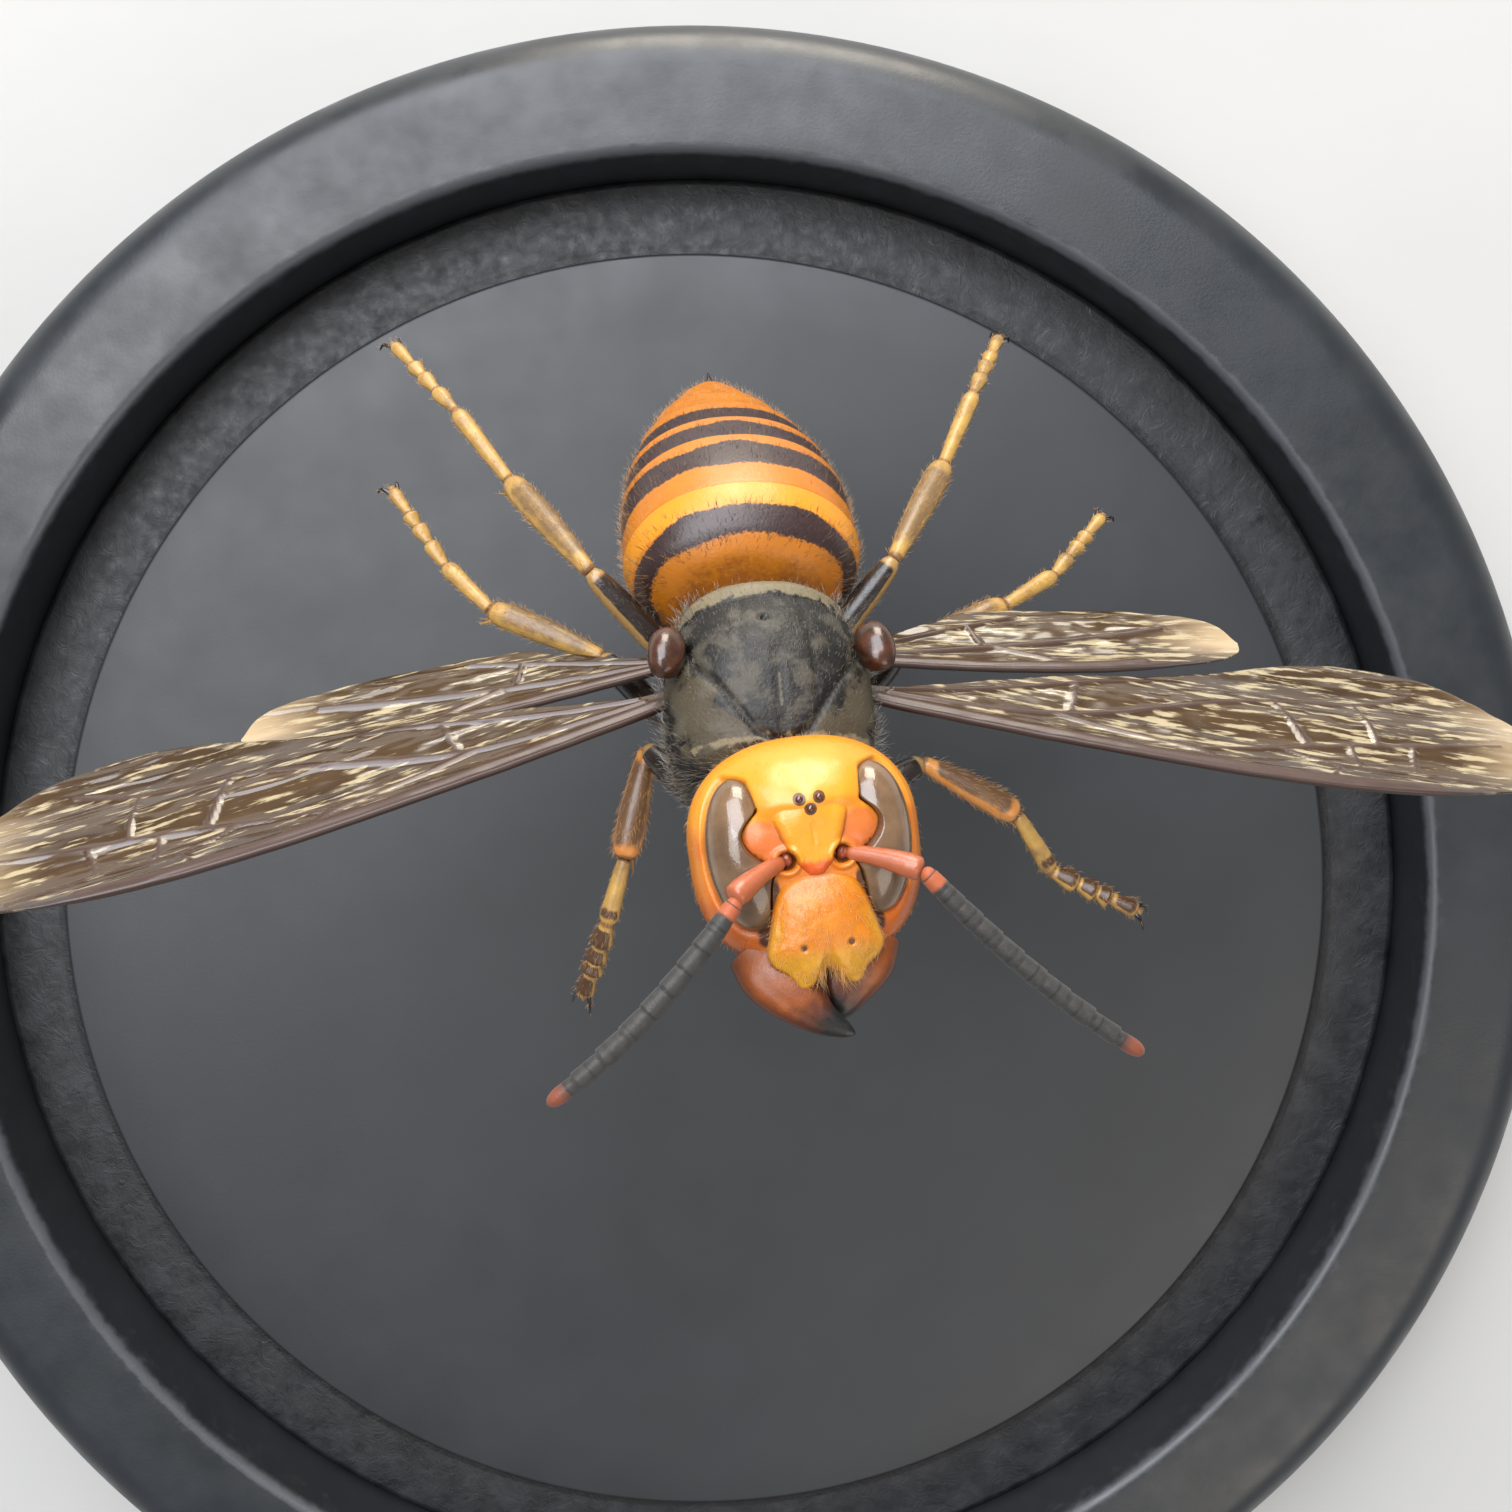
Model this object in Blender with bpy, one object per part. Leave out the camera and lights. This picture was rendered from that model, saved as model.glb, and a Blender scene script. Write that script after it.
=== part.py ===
"""An Asian giant hornet worker, spread as a museum specimen on a pin over a round black base.

All sizes are in millimetres and turn to metres where a piece is placed. The hornet is modelled in its
own frame, +X to its left, +Y to its rear and +Z out of its back, from the middle of the thorax. The head
has a frame of its own, with +Y from the face to the back of the head and +Z up the face. A specimen has
no joints that move.
"""

import math

import bmesh
import bpy
from mathutils import Euler, Matrix, Vector
from mathutils.geometry import delaunay_2d_cdt

MM = 0.001
GAP = 0.3

# How far a tube's radius and length draw in at its rounded ends
TUBE_END_SHARE = 0.6
TUBE_END_DEPTH = 0.3

# Base: a turned ring round a floor with a slightly raised plate
RIM_RADIUS = 58.8
RIM_FLAT_RADIUS = 55.4
RECESS_RADIUS = 49.7
BASE_HEIGHT = 16.0
FLOOR_HEIGHT = 10.0
PLATE_RADIUS = 44.5
PLATE_HEIGHT = 11.0
RIM_SIDES = 48
RIM_FOOT = 0.6
RIM_INNER_ROUND = 0.8
PLATE_EDGE = 0.3
PIN_RADIUS = 0.5
PIN_SIDES = 12
PIN_COLLAR_RADIUS = 1.6
PIN_COLLAR_HEIGHT = 1.2

# Where the hornet floats over the base, and how it is tilted nose up on the pin
THORAX_PLACE = Vector((5.4, 15.6, 48.1))
THORAX_TURN = (-43.7, 8.7, 1.7)
HEAD_PLACE = Vector((0.5, -8.65, 0.5))
HEAD_TURN = (-45.5, -5.0, 3.1)
PIN_IN_THORAX = Vector((0.0, 1.6, -3.9))

# Thorax: distance to the rear, half width, top, bottom
THORAX_STATIONS = (
    (-5.0, 1.7, 0.5, -2.0),
    (-4.75, 3.1, 1.3, -3.0),
    (-4.2, 4.2, 2.1, -3.9),
    (-3.2, 4.7, 2.8, -4.5),
    (-1.8, 4.9, 3.5, -4.9),
    (-0.2, 4.95, 4.05, -5.0),
    (1.4, 4.8, 4.25, -4.9),
    (2.8, 4.45, 4.05, -4.7),
    (3.7, 4.0, 3.6, -4.5),
    (4.5, 3.5, 2.8, -4.1),
    (5.1, 2.8, 1.7, -3.6),
    (5.5, 2.0, 0.6, -2.9),
)
THORAX_FULLNESS = 2.25
THORAX_SIDES = 24
NECK_PATH = ((0, -3.9, -0.7), (0.1, -5.2, -1.0), (0.25, -6.6, -1.4))
NECK_RADII = (1.9, 1.5, 1.1)
SCUTELLUM_FRONT = 2.85
SCUTELLUM_REAR = 4.2
SCUTUM_HALF_WIDTH = 4.0
SCUTUM_FRONT = -4.15
SCUTUM_WIDEST = 0.9
PRONOTUM_REAR = 0.3
PRONOTUM_LOW = -1.8
BEYOND = 8.0

# Gaster: distance to the rear, half width, top, bottom
GASTER_STATIONS = (
    (6.0, 0.8, -0.2, -1.9),
    (6.5, 2.2, 1.0, -2.7),
    (7.2, 4.0, 2.5, -3.8),
    (8.2, 5.2, 3.45, -4.8),
    (9.4, 5.75, 3.9, -5.4),
    (10.8, 6.0, 4.0, -5.7),
    (12.8, 6.0, 3.95, -5.75),
    (14.9, 5.75, 3.6, -5.5),
    (17.0, 5.3, 2.9, -5.1),
    (19.0, 4.65, 2.05, -4.6),
    (21.0, 3.8, 1.05, -4.1),
    (23.0, 2.7, 0.05, -3.4),
    (24.4, 1.7, -0.7, -2.8),
    (25.2, 0.8, -1.2, -2.2),
)
GASTER_FULLNESS = 2.15
SEGMENT_ENDS = (6.0, 10.6, 14.9, 18.1, 20.9, 23.2, 25.2)
SEGMENT_LIP = 0.14
STING_LENGTH = 1.3
STING_RADIUS = 0.3

# Head: depth behind the face plane, then the share of the full width, top and bottom
HEAD_HALF_WIDTH = 5.1
HEAD_TOP = 4.4
HEAD_BOTTOM = 5.3
HEAD_STATIONS = (
    (2.95, 0.30, 0.35, 0.25),
    (2.65, 0.62, 0.66, 0.50),
    (2.0, 0.86, 0.88, 0.68),
    (1.2, 0.98, 0.98, 0.86),
    (0.4, 1.00, 1.00, 0.96),
    (-0.4, 0.96, 0.96, 1.00),
    (-1.1, 0.87, 0.88, 1.00),
    (-1.7, 0.73, 0.77, 0.96),
    (-2.15, 0.53, 0.60, 0.80),
    (-2.4, 0.28, 0.36, 0.48),
)
HEAD_FULLNESS = 2.3
HEAD_LOWER_FULLNESS = 3.5
HEAD_LOWER_TAPER = 0.09
EYE_CENTRE = Vector((3.1, -0.85, -0.3))
EYE_SIZE = Vector((1.35, 1.85, 3.25))
EYE_TOE_OUT = 34.0
EYE_SLANT = 8.0
SINUS_CENTRE = Vector((1.7, -1.8, 0.55))
SINUS_SIZE = Vector((1.3, 2.0, 0.95))
OCELLI = ((0.0, 1.65), (-0.42, 2.1), (0.42, 2.1))
OCELLUS_RADIUS = 0.2
SHIELD_PATH = ((0, -1.6, 2.4), (0, -2.3, 1.0), (0, -2.75, -0.3), (0, -2.9, -1.0))
SHIELD_RADII = (1.0, 1.25, 0.75, 0.35)
SINUS_PATCH_CENTRE = Vector((2.0, -1.9, 0.7))
SINUS_PATCH_SIZE = Vector((1.0, 0.55, 0.85))
ANTENNA_SOCKET = Vector((1.15, -2.1, -0.45))

# Clypeus: half width at each height of its outline, from its top to the lobes and the notch between them
CLYPEUS_OUTLINE = (
    (0.0, -1.2),
    (0.95, -1.4),
    (1.55, -2.0),
    (1.9, -3.0),
    (2.3, -3.9),
    (2.6, -4.4),
    (2.1, -4.95),
    (1.65, -5.5),
    (1.25, -6.05),
    (0.75, -5.95),
    (0.0, -5.3),
)
CLYPEUS_CENTRE = -3.6
CLYPEUS_STATIONS = ((-1.3, 0.96), (-2.45, 1.0), (-2.85, 0.86), (-3.1, 0.6), (-3.2, 0.25))

# Mandibles, right over left: points from the base to the tip in the head's frame, with radii
MANDIBLE_PATHS = {
    "right": (
        (-2.9, -1.0, -4.4), (-2.65, -1.6, -5.3), (-2.0, -2.2, -6.4), (-1.0, -2.5, -7.4), (0.5, -2.6, -8.1),
    ),
    "left": (
        (2.5, -1.0, -4.4), (2.15, -1.4, -5.2), (1.55, -1.6, -6.2), (0.75, -1.6, -7.1), (-0.1, -1.4, -7.7),
    ),
}
MANDIBLE_RADII = (0.9, 1.15, 1.1, 0.75, 0.2)

# Antennae in the head's frame: the scape's end, then the points that the flagellum's curve follows
SCAPE_RADII = (0.3, 0.34, 0.42, 0.45)
SCAPE_ENDS = {"right": Vector((-3.8, -4.0, -1.4)), "left": Vector((4.25, -3.65, -1.45))}
FLAGELLUM_PATHS = {
    "right": ((-3.8, -4.05, -1.7), (-5.1, -4.3, -3.0), (-8.2, -4.9, -6.2), (-12.4, -4.8, -8.5)),
    "left": ((4.45, -3.75, -1.7), (6.0, -4.0, -3.8), (9.0, -4.3, -7.6), (12.6, -4.5, -10.5)),
}
FLAGELLUM_RADIUS = 0.5
FLAGELLUM_JOINTS = 10

# Tegulae over the wing roots
TEGULA_PLACE = Vector((4.85, 0.5, 2.75))
TEGULA_SIZE = Vector((0.85, 1.3, 1.0))

# Wings: the hinge, the turns that spread it, and the outline and veins along the span and across the chord
MEMBRANE_THICKNESS = 0.5
VEIN_HEIGHT = 0.18
VEIN_HALF_WIDTH = 0.34
WING_STEP = 3.3
WING_LENGTH = 33.0
WING_CURVE = 0.9
FOLD_DEPTH = 0.18
FOLD_RATE = 1.3
FOREWING_OUTLINE = (
    (-0.9, -0.1), (1.0, -0.35), (4.0, -0.6), (9.0, -1.05), (14.0, -1.35), (19.0, -1.5), (24.0, -1.35),
    (28.0, -0.75), (31.0, 0.35), (32.6, 1.7), (33.0, 3.1), (32.2, 4.9), (30.2, 6.7), (27.4, 7.9),
    (24.0, 8.3), (20.8, 7.9), (17.5, 6.9), (12.0, 5.1), (6.5, 3.3), (2.5, 1.9), (0.8, 1.2), (-0.9, 0.9),
)
FOREWING_VEINS = (
    ((0.0, 0.2), (5.0, -0.1), (11.0, -0.65), (16.6, -0.95), (21.4, -1.0), (26.5, -0.55)),
    ((0.4, 0.6), (4.5, 0.75), (8.5, 1.25), (13.0, 2.5), (19.4, 4.6), (23.6, 5.4), (26.6, 6.7)),
    ((8.5, 1.25), (12.0, 0.55), (15.0, -0.05), (16.6, -0.95)),
    ((15.0, -0.05), (19.4, 1.2), (22.9, 2.0), (26.0, 2.45), (30.3, 3.2)),
    ((19.4, 1.2), (22.2, 0.35), (25.8, 0.45), (29.6, 0.3)),
    ((21.4, -1.0), (22.2, 0.35)),
    ((22.9, 2.0), (23.1, 0.4)),
    ((26.0, 2.45), (25.8, 0.45)),
    ((20.9, 1.55), (19.4, 4.6)),
    ((24.3, 2.2), (23.6, 5.4)),
    ((0.6, 0.95), (6.0, 2.45), (13.4, 4.9)),
    ((9.3, 1.5), (9.6, 3.6)),
)
HINDWING_OUTLINE = (
    (-0.8, 0.0), (1.0, -0.15), (4.0, -0.4), (8.0, -0.7), (12.0, -0.8), (16.0, -0.5), (19.0, 0.2), (20.6, 1.0),
    (20.9, 1.9), (20.0, 3.0), (17.8, 3.9), (15.0, 4.5), (12.6, 4.6), (11.6, 4.4), (9.0, 4.5), (6.4, 4.1),
    (5.2, 3.4), (3.4, 2.6), (1.4, 1.6), (-0.8, 0.9),
)
HINDWING_VEINS = (
    ((0.0, 0.2), (4.0, 0.05), (8.0, -0.2), (12.0, -0.25), (15.5, 0.2)),
    ((0.3, 0.5), (4.0, 0.9), (8.0, 1.5), (12.5, 2.1), (17.0, 2.8)),
    ((8.0, 1.5), (10.0, 0.7), (12.0, -0.25)),
    ((0.5, 0.8), (4.5, 2.3), (9.5, 3.8)),
    ((7.4, 1.4), (6.8, 3.0)),
)
WINGS = {
    "forewing_right": {"hinge": (-5.3, -0.4, 0.0), "sweep": 14.0, "lift": -8.5, "droop": 12.0},
    "forewing_left": {"hinge": (5.3, -0.4, 0.0), "sweep": 14.0, "lift": -1.6, "droop": 10.0},
    "hindwing_right": {"hinge": (-4.4, 4.0, -2.2), "sweep": 7.0, "lift": -8.5, "droop": 14.0},
    "hindwing_left": {"hinge": (4.4, 3.9, -1.9), "sweep": 4.0, "lift": 0.0, "droop": 11.0},
}

# Legs: each segment's length, then its heading (0 out to the side, 90 to the rear) and lift in degrees
LEG_LENGTHS = {
    "fore": {"femur": 6.3, "tibia": 5.4, "basitarsus": 3.4, "tarsus": 4.6},
    "mid": {"femur": 7.2, "tibia": 6.6, "basitarsus": 4.0, "tarsus": 5.5},
    "hind": {"femur": 8.2, "tibia": 8.2, "basitarsus": 5.3, "tarsus": 6.6},
}
LEG_POSES = {
    "fore_right": {"femur": (56, 1), "tibia": (-73, -36), "basitarsus": (-65, -48), "tarsus": (-47, -68)},
    "fore_left": {"femur": (28, 9), "tibia": (-23, -20), "basitarsus": (-50, -37), "tarsus": (-26, -11)},
    "mid_right": {"femur": (60, -3), "tibia": (31, 2), "basitarsus": (54, 3), "tarsus": (59, 14)},
    "mid_left": {"femur": (50, 0), "tibia": (22, 7), "basitarsus": (34, 0), "tarsus": (48, 5)},
    "hind_right": {"femur": (36, 36), "tibia": (63, -3), "basitarsus": (58, 13), "tarsus": (60, 0)},
    "hind_left": {"femur": (40, 36), "tibia": (61, 0), "basitarsus": (62, 14), "tarsus": (64, -6)},
}
COXAE = {
    "fore": (Vector((1.5, -3.3, -2.8)), Vector((2.05, -4.9, -3.9))),
    "mid": (Vector((2.3, 0.8, -3.2)), Vector((3.6, 1.2, -4.5))),
    "hind": (Vector((2.0, 3.3, -3.0)), Vector((2.5, 4.5, -4.5))),
}
COXA_RADIUS = 1.05
LIMB_SIDES = 9
FEMUR_PROFILE = ((0.0, 0.45), (0.06, 0.5), (0.12, 0.38), (0.2, 0.5), (0.45, 0.72), (0.75, 0.72), (0.95, 0.58))
TIBIA_PROFILE = ((0.0, 0.38), (0.08, 0.44), (0.25, 0.6), (0.55, 0.74), (0.85, 0.74), (0.97, 0.6))
TARSOMERE_SHARES = (0.30, 0.22, 0.16, 0.32)
TARSUS_RADII = {"basitarsus": 0.5, "tarsomere": 0.48, "waist": 0.3}
SPUR_LENGTH = 1.5
SPUR_RADIUS = 0.16
CLAW_LENGTH = 1.0
CLAW_RADIUS = 0.16

BLACK = (0.012, 0.011, 0.011)
ORANGE = (0.80, 0.30, 0.03)
YELLOW = (0.90, 0.48, 0.05)
BROWN = (0.10, 0.05, 0.025)
TAN = (0.45, 0.27, 0.10)
EYE_BROWN = (0.10, 0.075, 0.055)
WING_AMBER = (0.30, 0.18, 0.08)
THORAX_BLACK = (0.03, 0.028, 0.024)
SCAPE_PINK = (0.55, 0.22, 0.12)


def clear_scene():
    for item in list(bpy.data.objects):
        bpy.data.objects.remove(item, do_unlink=True)


def material(name, colour, roughness=0.45):
    made = bpy.data.materials.new(name)
    made.use_nodes = True
    shader = made.node_tree.nodes["Principled BSDF"]
    shader.inputs["Base Color"].default_value = (*colour, 1.0)
    shader.inputs["Roughness"].default_value = roughness
    shader.inputs["Metallic"].default_value = 0.0
    return made


def object_from(bm, name="piece"):
    bmesh.ops.triangulate(bm, faces=bm.faces)
    bmesh.ops.recalc_face_normals(bm, faces=bm.faces)
    mesh = bpy.data.meshes.new(name)
    bm.to_mesh(mesh)
    bm.free()
    made = bpy.data.objects.new(name, mesh)
    bpy.context.scene.collection.objects.link(made)
    return made


def remove(item):
    bpy.data.objects.remove(item, do_unlink=True)


def largest_body(bm):
    """Leaves the connected piece with the largest volume."""
    left, pieces = set(bm.verts), []
    while left:
        stack, found = [left.pop()], set()
        while stack:
            vert = stack.pop()
            found.add(vert)
            for edge in vert.link_edges:
                other = edge.other_vert(vert)
                if other in left:
                    left.remove(other)
                    stack.append(other)
        pieces.append(found)
    if len(pieces) > 1:
        def volume(found):
            faces = {face for vert in found for face in vert.link_faces}
            return abs(sum(corner_volume(face) for face in faces))
        pieces.sort(key=volume)
        bmesh.ops.delete(bm, geom=[vert for found in pieces[:-1] for vert in found], context="VERTS")


def corner_volume(face):
    """The signed volume between a face and the origin."""
    first, *rest = [vert.co for vert in face.verts]
    return sum(first.dot(a.cross(b)) for a, b in zip(rest, rest[1:])) / 6


def evaluated_bmesh(target):
    """The target with its modifiers applied, in triangles, with only its largest body left."""
    bpy.context.view_layer.update()
    graph = bpy.context.evaluated_depsgraph_get()
    made = bpy.data.meshes.new_from_object(target.evaluated_get(graph))
    bm = bmesh.new()
    bm.from_mesh(made)
    bpy.data.meshes.remove(made)
    bmesh.ops.triangulate(bm, faces=bm.faces)
    largest_body(bm)
    return bm


def is_closed(bm):
    return bool(bm.faces) and all(len(edge.link_faces) == 2 for edge in bm.edges)


def apply_boolean(target, tools, operation):
    """One Boolean against a collection of tools, applied; the tools are removed after it."""
    group = bpy.data.collections.new("tools")
    bpy.context.scene.collection.children.link(group)
    for tool in tools:
        group.objects.link(tool)
    modifier = target.modifiers.new("join", "BOOLEAN")
    modifier.operation = operation
    modifier.operand_type = "COLLECTION"
    modifier.collection = group
    for solver in ("EXACT", "MANIFOLD"):
        modifier.solver = solver
        bm = evaluated_bmesh(target)
        if is_closed(bm):
            break
    target.modifiers.clear()
    bm.to_mesh(target.data)
    bm.free()
    for tool in tools:
        remove(tool)
    bpy.data.collections.remove(group)


def swollen(item):
    """A copy of a piece with its surface moved out by the gap, to cut a neighbour clear of it."""
    bm = bmesh.new()
    bm.from_mesh(item.data)
    bm.normal_update()
    moves = [(vert, vert.normal * GAP) for vert in bm.verts]
    for vert, move in moves:
        vert.co += move
    return object_from(bm, "swollen")


def copy_of(item):
    made = bpy.data.objects.new("copy", item.data.copy())
    bpy.context.scene.collection.objects.link(made)
    return made


def clear_of(item, *neighbours):
    for neighbour in neighbours:
        apply_boolean(item, [swollen(neighbour)], "DIFFERENCE")


def ring(centre, along, up, half_width, half_height, sides, fullness=2.0):
    """Points of a rounded section: fullness 2 is an ellipse, and more is squarer."""
    across = along.cross(up).normalized()
    up = across.cross(along).normalized()
    points = []
    for k in range(sides):
        angle = 2 * math.pi * k / sides
        c, s = math.cos(angle), math.sin(angle)
        x = math.copysign(abs(c) ** (2 / fullness), c) * half_width
        z = math.copysign(abs(s) ** (2 / fullness), s) * half_height
        points.append(centre + across * x + up * z)
    return points


def loft(rings):
    """A closed body through rings of equal count."""
    bm = bmesh.new()
    loops = [[bm.verts.new(point) for point in points] for points in rings]
    for first, second in zip(loops, loops[1:]):
        for k in range(len(first)):
            after = (k + 1) % len(first)
            bm.faces.new((first[k], first[after], second[after], second[k]))
    bm.faces.new(loops[0])
    bm.faces.new(loops[-1])
    return object_from(bm)


def between(stations, place):
    """The row of a table of stations at a place between them, on a smooth curve through its rows."""
    places = [row[0] for row in stations]
    last = len(stations) - 1
    index = max(i for i in range(last) if places[i] <= place or i == 0)
    t = (place - places[index]) / (places[index + 1] - places[index])
    t = min(1.0, max(0.0, t))
    rows = [stations[min(last, max(0, index + step))] for step in (-1, 0, 1, 2)]
    values = []
    for a, b, c, d in zip(*(row[1:] for row in rows)):
        values.append(0.5 * (2 * b + (c - a) * t + (2 * a - 5 * b + 4 * c - d) * t**2
                             + (3 * b - a - 3 * c + d) * t**3))
    return values


def slice_of(stations, start, end, sides, fullness, steps, lip=0.0):
    """The body between two places along the rear axis. A lip widens its rear edge."""
    rings = []
    rear, up = Vector((0, 1, 0)), Vector((0, 0, 1))
    for step in range(steps + 1):
        share = step / steps
        place = start + (end - start) * share
        half, top, bottom = between(stations, place)
        more = lip * share**3
        centre = Vector((0, place, (top + bottom) / 2))
        rings.append(ring(centre, rear, up, half + more, (top - bottom) / 2 + more, sides, fullness))
    return loft(rings)


def tube(points, radii, sides=8, up=Vector((0, 0, 1)), flat=1.0):
    """A tapering tube along points, with its ends rounded in."""
    points = [Vector(point) for point in points]
    rings = []
    last = len(points) - 1
    for index, (point, radius) in enumerate(zip(points, radii)):
        before, after = points[max(0, index - 1)], points[min(last, index + 1)]
        along = (after - before).normalized()
        hint = up if abs(along.dot(up)) < 0.95 else Vector((0, 1, 0))
        end = radius * TUBE_END_SHARE
        if index == 0:
            rings.append(ring(point, along, hint, end, end * flat, sides))
            point = point + along * radius * TUBE_END_DEPTH
        if index == last:
            point = point - along * radius * TUBE_END_DEPTH
        rings.append(ring(point, along, hint, radius, radius * flat, sides))
        if index == last:
            rings.append(ring(points[last], along, hint, end, end * flat, sides))
    return loft(rings)


def limb(start, end, profile):
    """A leg's segment from joint to joint, with its radius at each share of its length."""
    points = [start.lerp(end, share) for share, _ in profile] + [end]
    radii = [radius for _, radius in profile] + [profile[-1][1] * 0.85]
    return tube(points, radii, LIMB_SIDES)


def cone(start, end, radius, sides=5):
    return tube([start, start.lerp(end, 0.5), end], [radius, radius * 0.75, radius * 0.2], sides)


def turn_matrix(degrees):
    return Euler([math.radians(angle) for angle in degrees]).to_matrix().to_4x4()


def ellipsoid(centre, size, turn=(0, 0, 0), segments=14, rings=9):
    bm = bmesh.new()
    matrix = Matrix.Translation(centre) @ turn_matrix(turn) @ Matrix.Diagonal((*size, 1.0))
    bmesh.ops.create_uvsphere(bm, u_segments=segments, v_segments=rings, radius=1.0, matrix=matrix)
    return object_from(bm)


def finish(item, name, frame, made_of):
    """Names a node, turns it to metres in its place and gives it its material."""
    item.data.transform(frame)
    item.name = item.data.name = name
    item.data.materials.clear()
    item.data.materials.append(made_of)
    item.data.shade_smooth()
    item.data.set_sharp_from_angle(angle=math.radians(40))
    return item


TO_METRES = Matrix.Scale(MM, 4)
HORNET_FRAME = TO_METRES @ Matrix.Translation(THORAX_PLACE) @ turn_matrix(THORAX_TURN)
HEAD_IN_HORNET = Matrix.Translation(HEAD_PLACE) @ turn_matrix(HEAD_TURN)


def turned(profile, sides):
    """A body turned about the upright axis from an outline of radius and height, which may end on the axis."""
    bm = bmesh.new()
    verts = [bm.verts.new((radius, 0, height)) for radius, height in profile]
    ends = [] if profile[0][0] == 0 else verts[:1]
    edges = [bm.edges.new(pair) for pair in zip(verts, verts[1:] + ends)]
    bmesh.ops.spin(bm, geom=verts + edges, cent=(0, 0, 0), axis=(0, 0, 1), angle=2 * math.pi, steps=sides,
                   use_merge=True)
    bmesh.ops.remove_doubles(bm, verts=bm.verts, dist=0.0005)
    return object_from(bm)


def arc(centre_radius, centre_height, radius, start, end, steps):
    """Points of a rounded corner, from one angle to another in degrees."""
    points = []
    for step in range(steps + 1):
        angle = math.radians(start + (end - start) * step / steps)
        points.append((centre_radius + radius * math.cos(angle), centre_height + radius * math.sin(angle)))
    return points


def build_base():
    bevel = RIM_RADIUS - RIM_FLAT_RADIUS
    profile = [(RECESS_RADIUS, 0.0), (RIM_RADIUS - RIM_FOOT, 0.0), (RIM_RADIUS, RIM_FOOT)]
    profile += arc(RIM_FLAT_RADIUS, BASE_HEIGHT - bevel, bevel, 0, 90, 4)
    profile += arc(RECESS_RADIUS + RIM_INNER_ROUND, BASE_HEIGHT - RIM_INNER_ROUND, RIM_INNER_ROUND, 90, 180, 2)
    rim = turned(profile, RIM_SIDES)
    floor_radius = RECESS_RADIUS - GAP
    plate = [
        (0.0, 0.0), (floor_radius, 0.0), (floor_radius, FLOOR_HEIGHT), (PLATE_RADIUS, FLOOR_HEIGHT),
        (PLATE_RADIUS, PLATE_HEIGHT - PLATE_EDGE), (PLATE_RADIUS - PLATE_EDGE, PLATE_HEIGHT),
        (0.0, PLATE_HEIGHT),
    ]
    floor = turned(plate, RIM_SIDES)
    black = material("black turned base", BLACK, 0.45)
    finish(rim, "stand_rim", TO_METRES, black)
    finish(floor, "stand_floor", TO_METRES, black)


def thorax_slice(start, end, steps):
    return slice_of(THORAX_STATIONS, start, end, THORAX_SIDES, THORAX_FULLNESS, steps)


def build_thorax():
    """The thorax in slices, with the pronotum parted from the front of the scutum."""
    front = thorax_slice(THORAX_STATIONS[0][0], SCUTELLUM_FRONT - GAP / 2, 11)
    collar = thorax_slice(THORAX_STATIONS[0][0], SCUTELLUM_FRONT - GAP / 2, 11)
    apply_boolean(collar, [collar_region(0.0)], "INTERSECT")
    apply_boolean(front, [collar_region(GAP)], "DIFFERENCE")
    neck = tube(NECK_PATH, NECK_RADII, 12)
    clear_of(front, neck)
    apply_boolean(collar, [neck], "UNION")
    scutellum = thorax_slice(SCUTELLUM_FRONT + GAP / 2, SCUTELLUM_REAR - GAP / 2, 3)
    propodeum = thorax_slice(SCUTELLUM_REAR + GAP / 2, THORAX_STATIONS[-1][0], 4)
    whole = thorax_slice(THORAX_STATIONS[0][0], THORAX_STATIONS[-1][0], 18)
    return {"pronotum": collar, "mesothorax": front, "scutellum": scutellum, "propodeum": propodeum}, whole


def collar_region(grow):
    """The block in front of and beside the scutum, which the pronotum fills."""
    low, rear = PRONOTUM_LOW - grow, PRONOTUM_REAR + grow
    bm = bmesh.new()
    middle = Matrix.Translation((0, (rear - BEYOND) / 2, (low + BEYOND) / 2))
    size = Matrix.Diagonal((2 * BEYOND, rear + BEYOND, BEYOND - low, 1))
    bmesh.ops.create_cube(bm, size=1.0, matrix=middle @ size)
    block = object_from(bm)
    bm = bmesh.new()
    depth = SCUTUM_WIDEST - SCUTUM_FRONT - grow
    scale = Matrix.Diagonal((SCUTUM_HALF_WIDTH - grow, depth, 3 * BEYOND, 1))
    place = Matrix.Translation((0, SCUTUM_WIDEST, 0))
    bmesh.ops.create_cone(bm, cap_ends=True, segments=32, radius1=1, radius2=1, depth=1, matrix=place @ scale)
    apply_boolean(block, [object_from(bm)], "DIFFERENCE")
    return block


def build_gaster():
    """Six overlapping rings, each with a lip at its rear edge, and the sting."""
    rings = []
    for index, (start, end) in enumerate(zip(SEGMENT_ENDS, SEGMENT_ENDS[1:])):
        first = start if index == 0 else start + GAP / 2
        last = end if index == len(SEGMENT_ENDS) - 2 else end - GAP / 2
        steps = 7 if index == 0 else 4
        lip = SEGMENT_LIP if index < 5 else 0.0
        rings.append(slice_of(GASTER_STATIONS, first, last, 26, GASTER_FULLNESS, steps, lip))
    tip = GASTER_STATIONS[-1]
    middle = (tip[2] + tip[3]) / 2
    start = Vector((0, tip[0] + GAP, middle))
    sting = cone(start, start + Vector((0, STING_LENGTH, -0.1)), STING_RADIUS, 8)
    return rings, sting


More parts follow.
